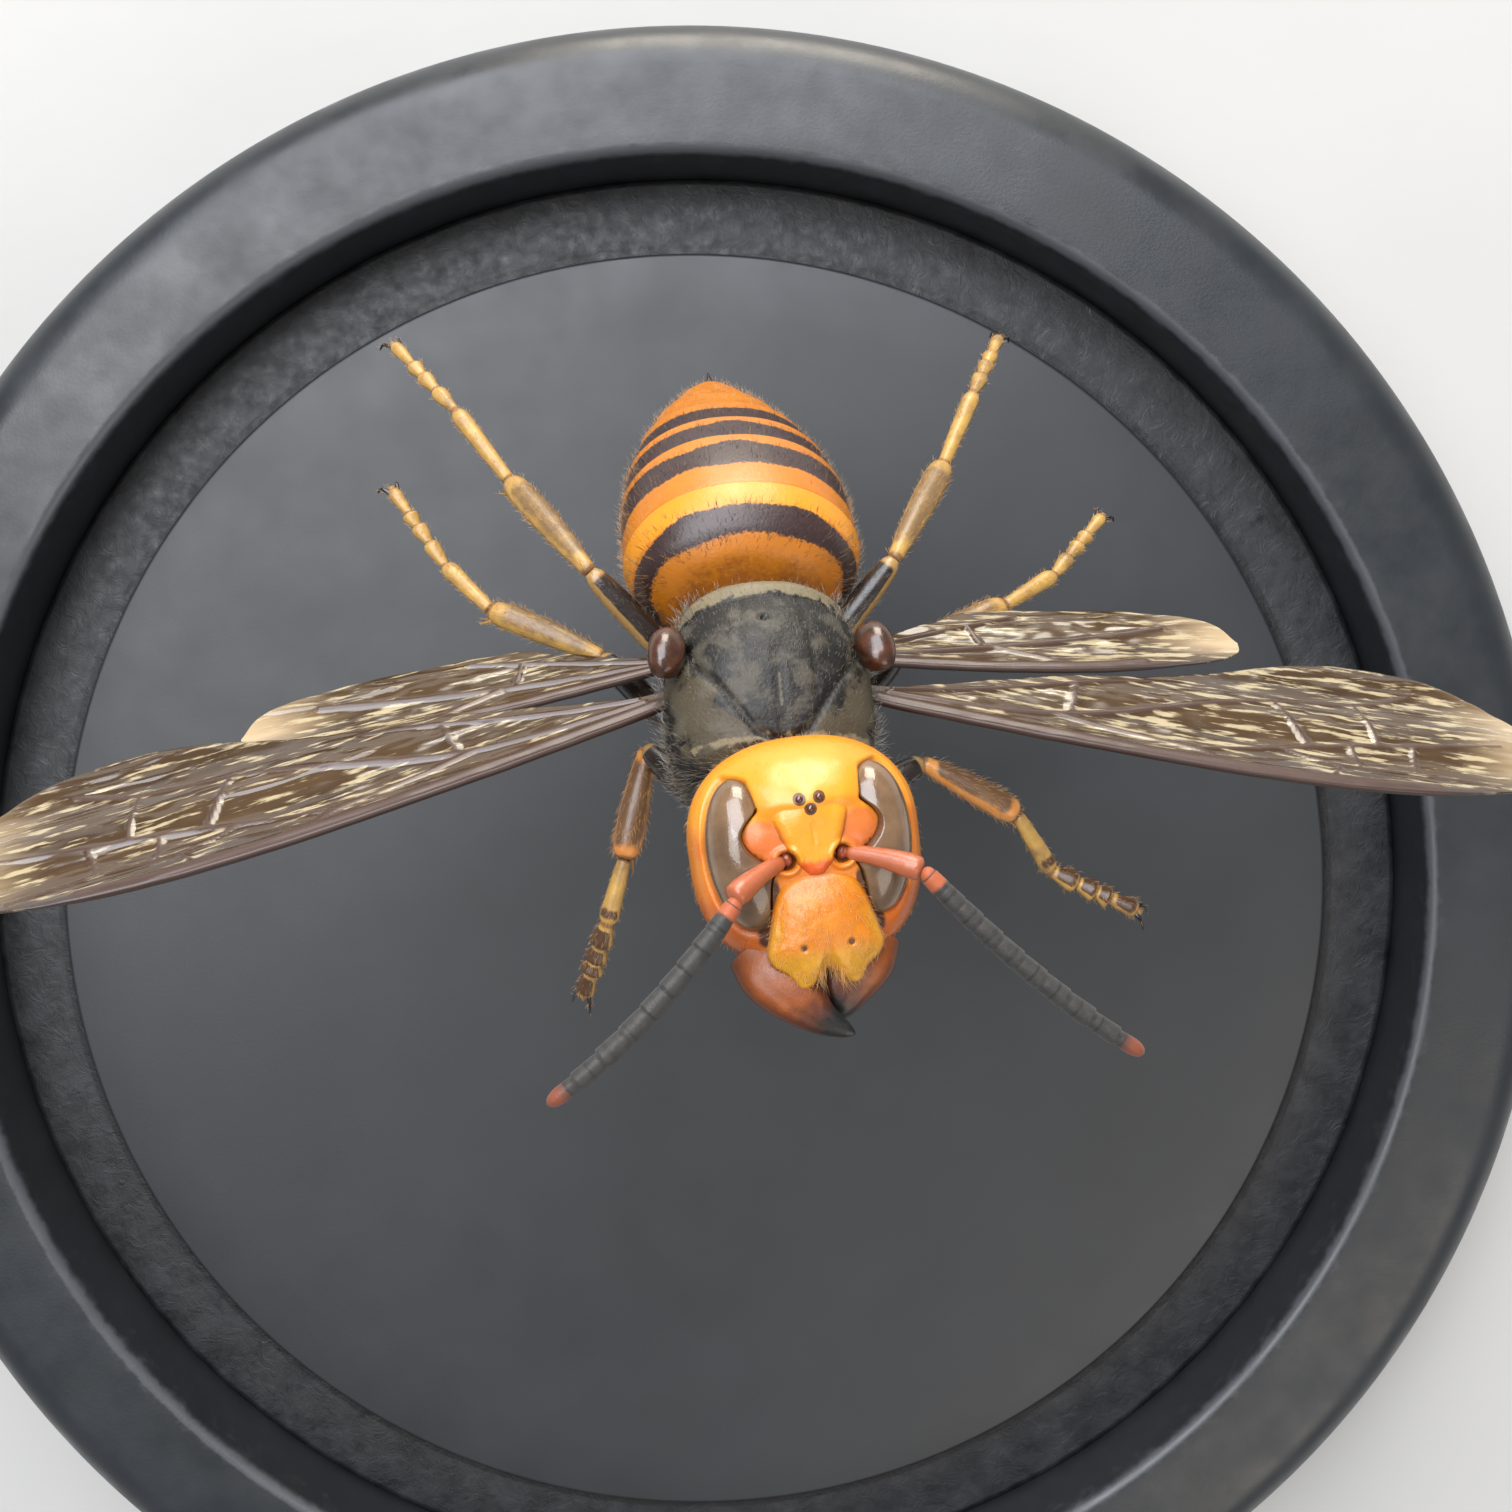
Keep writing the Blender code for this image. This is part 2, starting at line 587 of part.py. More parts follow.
def head_ring(depth, width, top, bottom, sides=26):
    """The head's outline from the front, squarer and narrower towards the mandibles."""
    points = []
    for k in range(sides):
        angle = 2 * math.pi * k / sides
        c, s = math.cos(angle), math.sin(angle)
        fullness = HEAD_LOWER_FULLNESS if s < 0 else HEAD_FULLNESS
        taper = 1 - HEAD_LOWER_TAPER * max(0.0, -s) ** 1.5
        x = math.copysign(abs(c) ** (2 / fullness), c) * HEAD_HALF_WIDTH * width * taper
        reach = HEAD_TOP * top if s > 0 else HEAD_BOTTOM * bottom
        z = math.copysign(abs(s) ** (2 / fullness), s) * reach
        points.append(Vector((x, depth, z)))
    return points


def mirrored(vector, side):
    return Vector((vector[0] * side, vector[1], vector[2]))


def eye(side, grow=0.0):
    size = EYE_SIZE + Vector((grow, grow, grow))
    made = ellipsoid(mirrored(EYE_CENTRE, side), size, (0, side * EYE_SLANT, side * EYE_TOE_OUT), 14, 10)
    notch_size = SINUS_SIZE - Vector((grow, grow, grow))
    notch = ellipsoid(mirrored(SINUS_CENTRE, side), notch_size, segments=10, rings=6)
    apply_boolean(made, [notch], "DIFFERENCE")
    return made


def build_head():
    head = loft([head_ring(*row) for row in HEAD_STATIONS])
    shield = tube(SHIELD_PATH, SHIELD_RADII, 8, up=Vector((0, -1, 0)), flat=0.45)
    ocelli = [ellipsoid(Vector((x, -2.05 + 0.12 * (z - 1.6), z)), Vector((1, 1, 1)) * OCELLUS_RADIUS, segments=6,
                        rings=4) for x, z in OCELLI]
    patches = [ellipsoid(mirrored(SINUS_PATCH_CENTRE, side), SINUS_PATCH_SIZE, segments=10, rings=6)
               for side in (-1, 1)]
    apply_boolean(head, [shield, *ocelli, *patches], "UNION")
    whole = copy_of(head)
    clypeus = build_clypeus()
    clear_of(head, clypeus)
    eyes = {}
    for name, side in (("right", -1), ("left", 1)):
        eyes[name] = eye(side)
        clear_of(eyes[name], clypeus)
        apply_boolean(head, [eye(side, GAP)], "DIFFERENCE")
    mandibles = {name: tube(path, MANDIBLE_RADII, 10, up=Vector((0, 1, 0)), flat=0.75)
                 for name, path in MANDIBLE_PATHS.items()}
    clear_of(mandibles["left"], mandibles["right"])
    for item in mandibles.values():
        clear_of(item, whole, clypeus)
    return head, clypeus, eyes, mandibles, whole


def build_clypeus():
    outline = [(x, z) for x, z in CLYPEUS_OUTLINE] + [(-x, z) for x, z in CLYPEUS_OUTLINE[-2:0:-1]]
    rings = []
    for depth, share in CLYPEUS_STATIONS:
        centre = Vector((0, depth, CLYPEUS_CENTRE))
        rings.append([centre + Vector((x, 0, z - CLYPEUS_CENTRE)) * share for x, z in outline])
    return loft(rings)


def bezier(points, share):
    points = [Vector(point) for point in points]
    while len(points) > 1:
        points = [a.lerp(b, share) for a, b in zip(points, points[1:])]
    return points[0]


def build_antenna(name, side, whole_head):
    """The scape, and a flagellum whose joints show as shallow waists."""
    socket = mirrored(ANTENNA_SOCKET, side)
    end = SCAPE_ENDS[name]
    scape = tube([socket.lerp(end, share) for share in (-0.04, 0.1, 0.5, 1.0)], SCAPE_RADII, 8)
    clear_of(scape, whole_head)
    points, radii = [], []
    for joint in range(FLAGELLUM_JOINTS):
        taper = 0.8 + 0.2 * math.sin(math.pi * min(1.0, (joint + 1) / 4) / 2)
        for share, radius in ((0.12, 0.92), (0.88, 1.0)):
            points.append(bezier(FLAGELLUM_PATHS[name], (joint + share) / FLAGELLUM_JOINTS))
            radii.append(FLAGELLUM_RADIUS * radius * taper)
    flagellum = tube(points, radii, 8)
    clear_of(flagellum, scape)
    return scape, flagellum


def vein_height(point, veins):
    """How far the nearest vein raises the membrane's surface at a point."""
    nearest = min(distance_to(point, Vector(a), Vector(b)) for vein in veins for a, b in zip(vein, vein[1:]))
    return VEIN_HEIGHT * max(0.0, 1 - nearest / VEIN_HALF_WIDTH)


def distance_to(point, start, end):
    along = end - start
    share = max(0.0, min(1.0, (point - start).dot(along) / along.length_squared))
    return (point - start - along * share).length


def inside(point, outline):
    """Whether a point lies inside an outline, by counting crossings."""
    found = False
    for a, b in zip(outline, outline[1:] + outline[:1]):
        if (a.y > point.y) != (b.y > point.y):
            if point.x < (b.x - a.x) * (point.y - a.y) / (b.y - a.y) + a.x:
                found = not found
    return found


def wing_plan(outline, veins):
    """Points and triangles of the wing laid flat, with an edge down both sides and the middle of each vein."""
    outline = [Vector(point) for point in outline]
    points = list(outline)
    edges = [(k, (k + 1) % len(outline)) for k in range(len(outline))]
    for vein in veins:
        for a, b in zip(vein, vein[1:]):
            a, b = Vector(a), Vector(b)
            side = (b - a).orthogonal().normalized() * VEIN_HALF_WIDTH
            for shift in (-side, Vector((0, 0)), side):
                first = len(points)
                points += [a + shift, b + shift]
                edges.append((first, first + 1))
    x_last = max(point.x for point in outline)
    y_last = max(point.y for point in outline)
    for column in range(1, int(x_last / WING_STEP)):
        for row in range(int(y_last / WING_STEP) + 1):
            points.append(Vector((column * WING_STEP, row * WING_STEP)))
    result = delaunay_2d_cdt(points, edges, [], 0, 0.05)
    verts, faces = result[0], result[2]
    kept = [face for face in faces if inside(sum((verts[i] for i in face), Vector((0, 0))) / 3, outline)]
    return verts, kept


def membrane_lift(point):
    """The wing's slow curve and its lengthwise folds, the same on both faces."""
    share = point.x / WING_LENGTH
    return WING_CURVE * share * share - FOLD_DEPTH * math.sin(FOLD_RATE * point.y) * min(1.0, 3 * share)


def build_wing(name):
    """A membrane whose main veins are ridges in its own two faces."""
    pose = WINGS[name]
    fore = name.startswith("fore")
    side = -1 if name.endswith("right") else 1
    outline = FOREWING_OUTLINE if fore else HINDWING_OUTLINE
    veins = FOREWING_VEINS if fore else HINDWING_VEINS
    verts, faces = wing_plan(outline, veins)
    sweep, lift, droop = (math.radians(pose[key]) for key in ("sweep", "lift", "droop"))
    level = math.cos(lift)
    along = Vector((side * level * math.cos(sweep), -level * math.sin(sweep), math.sin(lift)))
    chord = Vector((0, math.cos(droop), -math.sin(droop)))
    chord = (chord - along * chord.dot(along)).normalized()
    normal = along.cross(chord).normalized() * side
    hinge = Vector(pose["hinge"])
    bm = bmesh.new()
    used = sorted({index for face in faces for index in face})
    layers = []
    for face_side in (1, -1):
        layer = {}
        for index in used:
            point = verts[index]
            half = MEMBRANE_THICKNESS / 2 + vein_height(point, veins)
            height = membrane_lift(point) + face_side * half
            place = hinge + along * point.x + chord * point.y + normal * height
            layer[index] = bm.verts.new(place)
        layers.append(layer)
    top, bottom = layers
    edges = {}
    for face in faces:
        bm.faces.new([top[index] for index in face])
        bm.faces.new([bottom[index] for index in reversed(face)])
        for a, b in zip(face, face[1:] + face[:1]):
            edges[(a, b)] = True
    for a, b in edges:
        if (b, a) not in edges:
            bm.faces.new((top[b], top[a], bottom[a], bottom[b]))
    return object_from(bm)


def heading(side, angles):
    turn, lift = (math.radians(angle) for angle in angles)
    return Vector((side * math.cos(lift) * math.cos(turn), math.cos(lift) * math.sin(turn), math.sin(lift)))


def build_tarsus(ankle, pair, side, pose):
    """The long basitarsus, the short tarsomeres with flared ends, and the two claws."""
    lengths = LEG_LENGTHS[pair]
    wide, short, waist = (TARSUS_RADII[key] for key in ("basitarsus", "tarsomere", "waist"))
    first = heading(side, pose["basitarsus"])
    second = heading(side, pose["tarsus"])
    bend = ankle + first * lengths["basitarsus"]
    points = [ankle, ankle.lerp(bend, 0.15), ankle.lerp(bend, 0.9)]
    radii = [waist, wide * 0.85, wide]
    place = bend
    for index, share in enumerate(TARSOMERE_SHARES):
        end = place + second * share * lengths["tarsus"]
        points += [place.lerp(end, 0.12), place.lerp(end, 0.8)]
        radii += [waist, short if index < 3 else short * 0.9]
        place = end
    claws = []
    for turn in (-1, 1):
        across = second.cross(Vector((0, 0, 1))).normalized() * turn
        root = place - second * 0.5 + across * 0.1
        middle = place + second * CLAW_LENGTH * 0.25 + across * 0.5
        tip = middle + second * CLAW_LENGTH * 0.25 + across * 0.1 - Vector((0, 0, 1)) * CLAW_LENGTH * 0.6
        claws.append(tube([root, middle, tip], [CLAW_RADIUS, CLAW_RADIUS, CLAW_RADIUS * 0.35], 5))
    made = tube(points, radii, 7)
    apply_boolean(made, claws, "UNION")
    return made


def build_leg(name, whole):
    """Coxa, femur with its trochanter, tibia with spurs, and tarsus with claws, each clear of the one before."""
    pair, side_name = name.split("_")
    side = -1 if side_name == "right" else 1
    lengths, pose = LEG_LENGTHS[pair], LEG_POSES[name]
    root, hip = (mirrored(point, side) for point in COXAE[pair])
    knee = hip + heading(side, pose["femur"]) * lengths["femur"]
    ankle = knee + heading(side, pose["tibia"]) * lengths["tibia"]
    coxa = tube([root, root.lerp(hip, 0.5), hip], [COXA_RADIUS, COXA_RADIUS, COXA_RADIUS * 0.7], 10)
    femur = limb(hip, knee, FEMUR_PROFILE)
    tibia = limb(knee, ankle, TIBIA_PROFILE)
    near_coxa, near_femur, near_tibia = swollen(coxa), swollen(femur), swollen(tibia)
    spurs = []
    for turn in ((-1, 1) if pair != "fore" else (1,)):
        along = heading(side, pose["tibia"])
        down = (Vector((0.35 * turn, 0, -1)) - along * along.dot(Vector((0.35 * turn, 0, -1)))).normalized()
        start = ankle - along * 0.5 + down * 0.2
        spurs.append(cone(start, start + along * SPUR_LENGTH * 0.75 + down * SPUR_LENGTH * 0.65, SPUR_RADIUS))
    apply_boolean(tibia, spurs, "UNION")
    tarsus = build_tarsus(ankle, pair, side, pose)
    clear_of(coxa, whole)
    apply_boolean(femur, [near_coxa], "DIFFERENCE")
    clear_of(femur, whole)
    apply_boolean(tibia, [near_femur], "DIFFERENCE")
    apply_boolean(tarsus, [near_tibia], "DIFFERENCE")
    return {"coxa": coxa, "femur": femur, "tibia": tibia, "tarsus": tarsus}


def build_pin():
    """The pin from the plate up to the underside of the thorax, with a small collar at its foot."""
    top = HORNET_FRAME @ PIN_IN_THORAX / MM
    foot = PLATE_HEIGHT + GAP
    collar = foot + PIN_COLLAR_HEIGHT
    profile = [
        (0.0, foot), (PIN_COLLAR_RADIUS, foot), (PIN_COLLAR_RADIUS, collar - 0.4), (PIN_RADIUS, collar),
        (PIN_RADIUS, top.z), (0.0, top.z),
    ]
    pin = turned(profile, PIN_SIDES)
    pin.data.transform(Matrix.Translation((top.x, top.y, 0)))
    return pin


def main():
    clear_scene()
    build_base()
    thorax, whole = build_thorax()
    skin = {
        "orange": material("orange cuticle", ORANGE), "yellow": material("yellow cuticle", YELLOW),
        "brown": material("brown cuticle", BROWN), "tan": material("tan leg cuticle", TAN),
        "eye": material("compound eye", EYE_BROWN, 0.2), "wing": material("wing membrane", WING_AMBER, 0.3),
        "black": material("black cuticle", THORAX_BLACK), "pink": material("antenna base", SCAPE_PINK),
    }
    rings, sting = build_gaster()
    clear_of(rings[0], whole)
    head, clypeus, eyes, mandibles, whole_head = build_head()
    head_nodes = {"head": (head, "orange"), "clypeus": (clypeus, "orange")}
    for name, side in (("right", -1), ("left", 1)):
        scape, flagellum = build_antenna(name, side, whole_head)
        clear_of(scape, eyes[name])
        head_nodes[f"eye_{name}"] = (eyes[name], "eye")
        head_nodes[f"mandible_{name}"] = (mandibles[name], "brown")
        head_nodes[f"antenna_scape_{name}"] = (scape, "pink")
        head_nodes[f"antenna_flagellum_{name}"] = (flagellum, "black")
    for item, _ in head_nodes.values():
        item.data.transform(HEAD_IN_HORNET)
    whole_head.data.transform(HEAD_IN_HORNET)
    clear_of(thorax["pronotum"], whole_head)
    remove(whole_head)
    for name, (item, colour) in head_nodes.items():
        finish(item, name, HORNET_FRAME, skin[colour])
    pin = build_pin()
    pin.data.transform(HORNET_FRAME.inverted() @ TO_METRES)
    clear_of(pin, whole)
    finish(pin, "stand_pin", HORNET_FRAME, material("steel pin", (0.45, 0.44, 0.42), 0.3))
    for name, side in (("right", -1), ("left", 1)):
        tegula = ellipsoid(mirrored(TEGULA_PLACE, side), TEGULA_SIZE, (0, side * 30, 0), 12, 8)
        clear_of(tegula, whole)
        for wing_name in (f"forewing_{name}", f"hindwing_{name}"):
            wing = build_wing(wing_name)
            clear_of(wing, whole, tegula)
            finish(wing, wing_name, HORNET_FRAME, skin["wing"])
        finish(tegula, f"tegula_{name}", HORNET_FRAME, skin["brown"])
    for name in LEG_POSES:
        for part, item in build_leg(name, whole).items():
            finish(item, f"leg_{name}_{part}", HORNET_FRAME, skin["black" if part in ("coxa", "femur") else "tan"])
    for index, item in enumerate(rings):
        finish(item, f"abdomen_segment_{index + 1}", HORNET_FRAME, skin["orange" if index % 2 == 0 else "yellow"])
    finish(sting, "sting", HORNET_FRAME, skin["black"])
    remove(whole)
    for name, item in thorax.items():
        finish(item, name, HORNET_FRAME, skin["black"])


main()
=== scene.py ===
"""The looks of a giant hornet specimen, spread on a pin over a round black base.

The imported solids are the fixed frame. Every piece here is shaped in millimetres in the frame of what it
belongs to (the body, the head or the base) and is then placed in metres in the row frame. In the body's
frame +X is the hornet's left, +Y its rear and +Z its back. In the head's frame +Y runs from the face to the
back of the head and +Z up the face.
"""

import logging
import math
from collections.abc import Callable, Sequence
from dataclasses import dataclass, field
from enum import Enum

import bmesh
import bpy
import numpy as np
from mathutils import Euler, Matrix, Vector, noise

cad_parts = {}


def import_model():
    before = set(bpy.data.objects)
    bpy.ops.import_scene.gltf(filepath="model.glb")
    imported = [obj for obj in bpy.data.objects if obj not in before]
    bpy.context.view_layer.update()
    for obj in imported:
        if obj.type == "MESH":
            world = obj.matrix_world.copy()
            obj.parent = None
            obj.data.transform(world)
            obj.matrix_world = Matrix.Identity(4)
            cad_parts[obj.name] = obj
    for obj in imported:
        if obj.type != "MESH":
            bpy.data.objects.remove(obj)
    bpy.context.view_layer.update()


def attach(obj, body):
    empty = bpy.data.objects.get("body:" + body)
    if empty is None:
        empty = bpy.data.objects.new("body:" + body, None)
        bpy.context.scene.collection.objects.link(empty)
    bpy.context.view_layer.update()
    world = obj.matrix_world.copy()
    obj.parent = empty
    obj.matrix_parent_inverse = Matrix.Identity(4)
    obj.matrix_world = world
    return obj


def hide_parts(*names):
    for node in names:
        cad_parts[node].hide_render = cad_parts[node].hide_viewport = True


LOG = logging.getLogger("hornet")

MM = 0.001
WELD_MM = 0.0005
# How far light travels in chitin
SCATTER_MM = 0.4
SEED = 11
TINY = 1e-12
FAR = 1e9

Array = np.ndarray
Outline = Sequence[tuple[float, float]]
Spot = tuple[float, float, float]
Tree = bpy.types.NodeTree
Socket = bpy.types.NodeSocket
Piece = bpy.types.Object


class Side(Enum):
    """The hornet's own right and left, as the sign of x in its frame."""

    RIGHT = -1
    LEFT = 1

    @property
    def word(self) -> str:
        """The side's name as the nodes spell it."""
        return self.name.lower()


class Grain(Enum):
    """What the fine relief of a finish is made of."""

    PORES = "pores"
    FACETS = "facets"
    WRINKLES = "wrinkles"
    SCUFFS = "scuffs"


class Space(Enum):
    """Where a finish reads its pattern: in the object's space, or along the piece's own surface."""

    OBJECT = "object"
    SURFACE = "surface"


def turned(degrees: Sequence[float]) -> Matrix:
    """The 4x4 turn of an XYZ Euler rotation in degrees."""
    return Euler([math.radians(angle) for angle in degrees]).to_matrix().to_4x4()


def ball_place(centre: Sequence[float], radii: Spot, degrees: Spot = (0, 0, 0)) -> Matrix:
    """The place, turn and radii of a ball."""
    return Matrix.Translation(Vector(centre)) @ turned(degrees) @ Matrix.Diagonal((*radii, 1.0))


# The same places and turns that the solids have
THORAX_PLACE = Vector((5.4, 15.6, 48.1))
THORAX_TURN = (-43.7, 8.7, 1.7)
HEAD_PLACE = Vector((0.5, -8.65, 0.5))
HEAD_TURN = (-45.5, -5.0, 3.1)
BASE_FRAME = Matrix.Scale(MM, 4)
BODY_FRAME = BASE_FRAME @ Matrix.Translation(THORAX_PLACE) @ turned(THORAX_TURN)
HEAD_FRAME = BODY_FRAME @ Matrix.Translation(HEAD_PLACE) @ turned(HEAD_TURN)


def linear(colour: str) -> tuple[float, float, float, float]:
    """Turns an sRGB hex colour to a linear colour with full alpha.

    Args:
        colour: Six hex digits.

    Returns:
        Red, green, blue and alpha, linear.
    """
    shares = [int(colour[i : i + 2], 16) / 255 for i in (0, 2, 4)]
    values = [s / 12.92 if s <= 0.04045 else ((s + 0.055) / 1.055) ** 2.4 for s in shares]
    return (*values, 1.0)


def step(values: Array, low: Array | float, high: Array | float) -> Array:
    """A smooth step from 0 at low to 1 at high, which may run either way."""
    share = np.clip((values - low) / (high - low), 0.0, 1.0)
    return share * share * (3 - 2 * share)


def ridge(distance: Array, width: float) -> Array:
    """A soft ridge, 1 in its middle and about a third at its width."""
    return np.exp(-((distance / width) ** 2))


def unit(rows: Array, least: float = TINY) -> Array:
    """Each row at length 1, or shorter where its own length is under the least."""
    return rows / np.maximum(np.linalg.norm(rows, axis=1), least)[:, None]


def eased(a: Array, b: Array, c: Array, d: Array, t: Array) -> Array:
    """The smooth way from b to c at the shares t, with a before them and d after them."""
    return 0.5 * (2 * b + (c - a) * t + (2 * a - 5 * b + 4 * c - d) * t**2 + (3 * b - a - 3 * c + d) * t**3)


def curve(points: Sequence[Sequence[float]], count: int, closed: bool = False) -> Array:
    """A smooth curve through points.

    Args:
        points: The points that it passes through.
        count: How many points to return.
        closed: Whether it joins its own start.

    Returns:
        The points of the curve, one row each.
    """
    rows = np.array(points, float)
    last = len(rows) if closed else len(rows) - 1
    places = np.linspace(0, last, count, endpoint=not closed)
    index = np.minimum(places.astype(int), last - 1)
    t = (places - index)[:, None]

    def row(offset: int) -> Array:
        """The row at an offset from each place's own."""
        wanted = index + offset
        return rows[wanted % len(rows)] if closed else rows[np.clip(wanted, 0, len(rows) - 1)]

    return eased(row(-1), row(0), row(1), row(2), t)


def line_distance(points: Array, line: Array) -> Array:
    """The distance in the plane from each point to a line.

    Args:
        points: Points of the plane, one row each.
        line: The line's own points.

    Returns:
        One distance for each point.
    """
    nearest = np.full(len(points), FAR)
    for start, end in zip(line[:-1], line[1:]):
        along = end - start
        share = np.clip((points - start) @ along / max(along @ along, TINY), 0, 1)
        nearest = np.minimum(nearest, np.linalg.norm(points - start - share[:, None] * along, axis=1))
    return nearest


def inside(points: Array, outline: Array) -> Array:
    """Whether each point lies inside a closed outline, by counting crossings.

    Args:
        points: Points of the plane, one row each.
        outline: The outline's corners.

    Returns:
        True or false for each point.
    """
    found = np.zeros(len(points), bool)
    for (ax, ay), (bx, by) in zip(outline, np.roll(outline, -1, axis=0)):
        crosses = (ay > points[:, 1]) != (by > points[:, 1])
        height = by - ay if abs(by - ay) > TINY else TINY
        found ^= crosses & (points[:, 0] < (bx - ax) * (points[:, 1] - ay) / height + ax)
    return found


def depth_within(points: Array, outline: Array) -> Array:
    """How far each point lies inside an outline, negative outside it."""
    distance = line_distance(points, np.vstack([outline, outline[:1]]))
    return np.where(inside(points, outline), distance, -distance)


def ripple(points: Array, scale: float, seed: float = 0.0) -> Array:
    """Smooth noise from -1 to 1 at each point, with features about 1 / scale across."""
    return np.array([noise.noise(Vector(point) * scale + Vector((seed, 0, 0))) for point in points])


def add_node(
    tree: Tree,
    kind: str,
    settings: dict[str | int, object] | None = None,
    links: dict[str | int, Socket] | None = None,
) -> bpy.types.Node:
    """Adds a node with its settings and links.

    Args:
        tree: The material's node tree.
        kind: The node's type.
        settings: Values by property name, or by the name or number of an input.
        links: Output sockets by the name or number of the input that they feed.

    Returns:
        The new node.
    """
    node = tree.nodes.new(kind)
    for key, value in (settings or {}).items():
        if isinstance(key, str) and hasattr(node, key):
            setattr(node, key, value)
        else:
            node.inputs[key].default_value = value
    for key, socket in (links or {}).items():
        tree.links.new(socket, node.inputs[key])
    return node


@dataclass(frozen=True)
class Layer:
    """A colour laid over those before it where a painted attribute passes a level.

    Edge is half the blend's width and ragged how far noise moves it, both in the attribute's own unit.
    """

    attribute: str
    colour: str
    level: float = 0.5
    edge: float = 0.1
    ragged: float = 0.0
    grain_mm: float = 0.4
    cover: float = 1.0
    roughness: float | None = None


